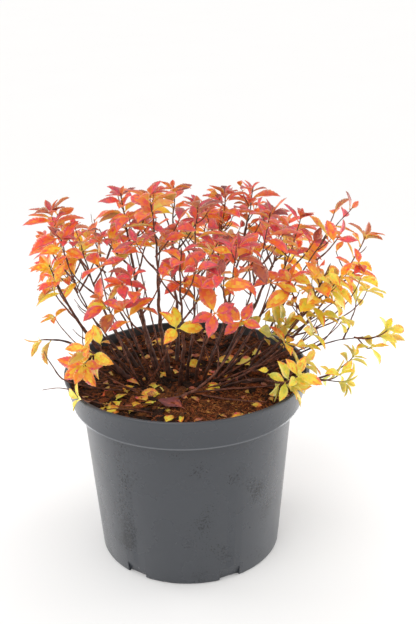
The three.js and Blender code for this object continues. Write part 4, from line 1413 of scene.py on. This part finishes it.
class SPIREA_OT_mix_pieces(bpy.types.Operator):
    """Scatter bark chips and coir fibres over the mix"""

    bl_idname = "spirea.mix_pieces"
    bl_label = "Bark chips and fibres"

    def execute(self, context):
        settings = context.scene.spirea_mix
        relief = settings.relief / MM
        rng = np.random.default_rng(settings.seed)
        chips = Batch()
        for n in range(settings.chips):
            x, y = on_mix(rng, LITTER_REACH)
            if n % 5 < CHIPS["of_five"]:
                x, y = strewn(rng, COIR, CHIPS["close"], CHIPS["close"])
            if math.hypot(x, y) > LITTER_REACH:
                continue
            coir = coir_patch(x, y)
            length = CHIPS["least"] + CHIPS["range"] * rng.random() ** CHIPS["few_long"]
            length *= 1 - CHIPS["shorter"] * coir
            if n < BIG_CHIPS["count"]:
                x, y = strewn(rng, BIG_CHIPS)
                if math.hypot(x, y) > LITTER_REACH:
                    continue
                coir, length = 0, dealt(BIG_CHIPS, rng.random)
            width = length * dealt(CHIP_WIDTH, rng.random)
            thickness = CHIPS["thick"] + CHIPS["thicker"] * length * rng.random()
            spots = CHIP * np.array([length, width, thickness])
            spots = spots * (1 + CHIPS["ragged"] * (rng.random(CHIP.shape) - 0.5))
            spin = Matrix.Rotation(rng.random() * 2 * math.pi, 3, "Z")
            lean = Matrix.Rotation((rng.random() - 0.5) * CHIPS["tipped"], 3, "Y")
            lean = lean @ Matrix.Rotation((rng.random() - 0.5) * CHIPS["tipped"], 3, "X")
            spots = spots @ np.array(spin @ lean).T
            spots += (x, y, mix_height(x, y, relief) - CHIPS["sunk"])
            tone = rng.random() + CHIPS["redder"] * coir
            chips.add(spots, CHIP_FACES, int(np.searchsorted(CHIP_TONES, tone)))
        chips.piece("bark_chips", [potting_mix(*brown) for brown in CHIP_BROWNS], "potting_mix", sharp=30)
        fibres = Batch()
        steps = len(FIBRE_TAPER) - 1
        for n in range(settings.fibres):
            x, y = on_mix(rng, LITTER_REACH)
            if n % 10 < FIBRES["of_ten"]:
                x, y = strewn(rng, COIR, FIBRES["close_x"], FIBRES["close_y"])
            if math.hypot(x, y) > LITTER_REACH:
                continue
            length = FIBRES["least"] + FIBRES["range"] * rng.random() ** FIBRES["few_long"]
            heading = rng.random() * 2 * math.pi
            curl = (rng.random() - 0.5) * FIBRES["curl"]
            line, spot = [], np.array([x, y])
            for step in range(steps + 1):
                spot = spot * min(1.0, (MIX_EDGE_RADIUS - FIBRES["from_wall"]) / max(1.0, math.hypot(*spot)))
                arch = math.sin(math.pi * step / steps) * length * FIBRES["arch"]
                line.append((*spot, mix_height(*spot, relief * FIBRES["even"]) + FIBRES["over"] + arch))
                spot = spot + np.array([math.cos(heading), math.sin(heading)]) * length / steps
                heading += curl
            radius = dealt(FIBRE_RADIUS, rng.random)
            points, faces = tube(line, (0.05, 0.02, 1), [radius * k for k in FIBRE_TAPER], FIBRES["sides"])
            fibres.add(points, faces, int(rng.integers(0, len(FIBRE_BROWNS))))
        fibres.piece("coir_fibres", [potting_mix(*brown) for brown in FIBRE_BROWNS], "potting_mix", sharp=80)
        return {"FINISHED"}


class SPIREA_OT_fallen_leaves(bpy.types.Operator):
    """Lay the fallen leaves on the mix"""

    bl_idname = "spirea.fallen_leaves"
    bl_label = "Fallen leaves"

    def execute(self, context):
        shrub = context.scene.spirea_shrub
        relief = context.scene.spirea_mix.relief / MM
        rng = np.random.default_rng(shrub.seed)
        batch = Batch()
        places = [(*place, place[3] < BROWNED) for place in FALLEN]
        for kind, source in ((LITTER, rng), (CRUMBLED, np.random.default_rng(shrub.seed + 1))):
            for _ in range(kind["count"]):
                x, y = on_mix(source, kind["reach"])
                length = dealt(kind, source.random)
                tint = kind["tint"] + kind["turn"] * source.random()
                places.append((x, y, length, tint, 360 * source.random(), kind is CRUMBLED))
        for x, y, length, tint, heading, dull in places:
            angle = math.radians(heading)
            along = Vector((math.cos(angle), math.sin(angle), LYING["pitch"] * (rng.random() - 0.5)))
            along.normalize()
            face_up = rng.random() < LYING["face_up"] or tint < BROWNED
            face = Vector((0, -0.35, 1)) * (1 if face_up else -1)
            face = (face - along * face.dot(along)).normalized()
            face.rotate(Quaternion(along, (rng.random() - 0.5) * LYING["roll"]))
            middle = Vector((x, y, mix_height(x, y, relief) + LYING["height"]))
            leaf = {
                "root": middle - along * length / 2, "along": along, "face": face, "length": length,
                "upper": tint, "under": tint + PALER_BENEATH, "dull": dull, **LYING_LEAF,
            }
            chance = rng.random(CHANCES)
            points, faces, u = leaf_mesh(leaf, shrub, chance)
            batch.add(points, faces, leaf_marks(leaf, u, chance))
        batch.piece("fallen_leaves", leaf_skins(), "leaves", sharp=LEAF_SHARP)
        return {"FINISHED"}


class SPIREA_OT_canes(bpy.types.Operator):
    """Grow the canes, each from its foot in the mix to its tip, with the bark's relief"""

    bl_idname = "spirea.canes"
    bl_label = "Canes"

    def execute(self, context):
        growth = full_growth(context.scene.spirea_shrub)
        rng = np.random.default_rng(SEEDS["canes"])
        batch = Batch()
        for plant in growth["plants"]:
            batch.add(*cane_tube(plant, rng))
        # The last value is how deep the painted shade near the mix is.
        bark = young_bark("cane_bark", 0x3A1C13, 0x84513C, 4.0, 0.65)
        batch.piece("canes", [bark], "bark", node_names("cane", range(len(CANES))), sharp=60)
        return {"FINISHED"}


class SPIREA_OT_twigs(bpy.types.Operator):
    """Grow the side twigs, the leafy spurs and the bare twigs"""

    bl_idname = "spirea.twigs"
    bl_label = "Twigs"

    def execute(self, context):
        growth = full_growth(context.scene.spirea_shrub)
        rng = np.random.default_rng(SEEDS["twigs"])
        batch = Batch()
        sizes = {"twig": (TWIG["root"], TWIG_TIP), "spur": (SPUR["root"], SPUR["tip"])}
        for shoot in growth["stems"]:
            if shoot["kind"] == "leader":
                continue
            girth = shoot.get("girth", 1)
            low = (LOW_GIRTH["root"] * girth, LOW_GIRTH["tip"] * girth)
            batch.add(*twig_tube(shoot["stem"], *sizes.get(shoot["kind"], low), rng))
        bark = young_bark("twig_bark", 0x442117, 0x925840, 3.0, 0.15)
        batch.piece("twigs", [bark], "bark", node_names("foliage", range(len(CANES))), sharp=60)
        return {"FINISHED"}


class SPIREA_OT_leaves(bpy.types.Operator):
    """Set every leaf on its twig, in its own tints"""

    bl_idname = "spirea.leaves"
    bl_label = "Leaves"

    def execute(self, context):
        shrub = context.scene.spirea_shrub
        growth = full_growth(shrub)
        rng = np.random.default_rng(SEEDS["leaves"])
        parts = {"left": Batch(), "middle": Batch(), "right": Batch()}
        members = {side: set() for side in parts}
        for leaf in growth["leaves"]:
            x = CANES[leaf["plant"]][0][0]
            side = "left" if x < LEFT_OF else "right" if x > RIGHT_OF else "middle"
            chance = rng.random(CHANCES)
            points, faces, u = leaf_mesh(leaf, shrub, chance)
            parts[side].add(points, faces, leaf_marks(leaf, u, chance))
            members[side].add(leaf["plant"])
        for side, batch in parts.items():
            nodes = node_names("foliage", sorted(members[side]))
            batch.piece(f"leaves_{side}", leaf_skins(), "leaves", nodes, sharp=LEAF_SHARP)
        return {"FINISHED"}


class SPIREA_OT_stage(bpy.types.Operator):
    """Lay a pale floor, hang the soft lights and set the camera"""

    bl_idname = "spirea.stage"
    bl_label = "Stage"

    def execute(self, context):
        stage = context.scene.spirea_stage
        scene = context.scene
        ground = Batch()
        square = ((-1, -1), (1, -1), (1, 1), (-1, 1))
        ground.add([(x * FLOOR_HALF, y * FLOOR_HALF, -FLOOR_SINK) for x, y in square], [[(0, 1, 2, 3)]])
        floor = ground.drawn("floor")
        # A painted board, matt and all but even, so that the plant stands out from it.
        board, tree, surface, place = new_material("painted_board", roughness=0.9, specular_ior_level=0.0)
        cloud = add_node(tree, "ShaderNodeTexNoise", {
            "Vector": place, "Scale": per_metre(300), "Detail": 2.0})
        tone = add_node(tree, "ShaderNodeMix", {
            0: cloud.outputs["Fac"], 6: opaque(stage.floor_colour),
            7: opaque(stage.floor_colour, 0.985)}, data_type="RGBA")
        tree.links.new(tone.outputs[2], surface.inputs["Base Color"])
        floor.data.materials.append(board)
        world = bpy.data.worlds.new("studio")
        scene.world = world
        world.use_nodes = True
        back = world.node_tree.nodes["Background"]
        back.inputs["Color"].default_value = linear(0xFFFFFF)
        back.inputs["Strength"].default_value = stage.sky
        self.sun(scene, "key_light", (-0.5, -0.7, 1.1), stage.key_power)
        self.sun(scene, "fill_light", (0.9, -0.3, 0.9), stage.fill_power)
        self.softbox(scene, "left_softbox", (-0.6, 0.22, 0.12), stage.side_power)
        self.softbox(scene, "right_softbox", (0.6, 0.22, 0.12), stage.side_power)
        camera = bpy.data.objects.new("camera", bpy.data.cameras.new("camera"))
        scene.collection.objects.link(camera)
        camera.data.lens = LENS
        camera.data.clip_start, camera.data.clip_end = CLIP
        facing = Matrix.Rotation(math.pi / 2 - PITCH, 4, "X") @ Matrix.Rotation(ROLL, 4, "Z")
        camera.matrix_world = Matrix.Translation(EYE * MM) @ facing
        scene.camera = camera
        scene.view_settings.view_transform = "Standard"
        return {"FINISHED"}

    def sun(self, scene, name, place, power):
        """A soft light as even as from a large far softbox."""
        lamp = bpy.data.lights.new(name, "SUN")
        lamp.energy, lamp.angle = power, math.radians(SUN_WIDTH)
        self.hang(scene, name, lamp, place)

    def softbox(self, scene, name, place, power):
        """A low soft light beside the pot, which draws the pale streaks down its flanks."""
        lamp = bpy.data.lights.new(name, "AREA")
        lamp.shape, lamp.energy = "RECTANGLE", power
        lamp.size, lamp.size_y = SOFTBOX_SIZE
        self.hang(scene, name, lamp, place).visible_camera = False

    def hang(self, scene, name, lamp, place):
        """A light at its place, aimed at the pot."""
        made = bpy.data.objects.new(name, lamp)
        scene.collection.objects.link(made)
        made.location = place
        aim = LIT_POINT - Vector(place)
        made.rotation_euler = aim.to_track_quat("-Z", "Y").to_euler()
        return made


class VIEW3D_PT_spirea(bpy.types.Panel):
    """The spirea's pieces and settings"""

    bl_label = "Spirea"
    bl_space_type = "VIEW_3D"
    bl_region_type = "UI"
    bl_category = "Spirea"

    def draw(self, context):
        layout = self.layout
        for group in SETTINGS:
            box = layout.box()
            box.label(text=SETTINGS[group].__doc__)
            settings = getattr(context.scene, group)
            for name in SETTINGS[group].__annotations__:
                box.prop(settings, name)
        for operator in OPERATORS:
            layout.operator(operator.bl_idname)


SETTINGS = {
    "spirea_pot": SpireaPot,
    "spirea_mix": SpireaMix,
    "spirea_shrub": SpireaShrub,
    "spirea_stage": SpireaStage,
}
OPERATORS = [
    SPIREA_OT_stage,
    SPIREA_OT_pot,
    SPIREA_OT_mix,
    SPIREA_OT_mix_pieces,
    SPIREA_OT_fallen_leaves,
    SPIREA_OT_canes,
    SPIREA_OT_twigs,
    SPIREA_OT_leaves,
]


def register():
    """Make the settings, operators and panel known to Blender."""
    for group in SETTINGS.values():
        bpy.utils.register_class(group)
    for operator in OPERATORS:
        bpy.utils.register_class(operator)
    bpy.utils.register_class(VIEW3D_PT_spirea)
    for name, group in SETTINGS.items():
        setattr(bpy.types.Scene, name, PointerProperty(type=group))


def unregister():
    """Take them out again."""
    for name in SETTINGS:
        delattr(bpy.types.Scene, name)
    bpy.utils.unregister_class(VIEW3D_PT_spirea)
    for operator in reversed(OPERATORS):
        bpy.utils.unregister_class(operator)
    for group in SETTINGS.values():
        bpy.utils.unregister_class(group)


def main():
    """Build the stage and every piece."""
    register()
    for operator in OPERATORS:
        group, name = operator.bl_idname.split(".")
        getattr(getattr(bpy.ops, group), name)()


if __name__ == "__main__":
    main()
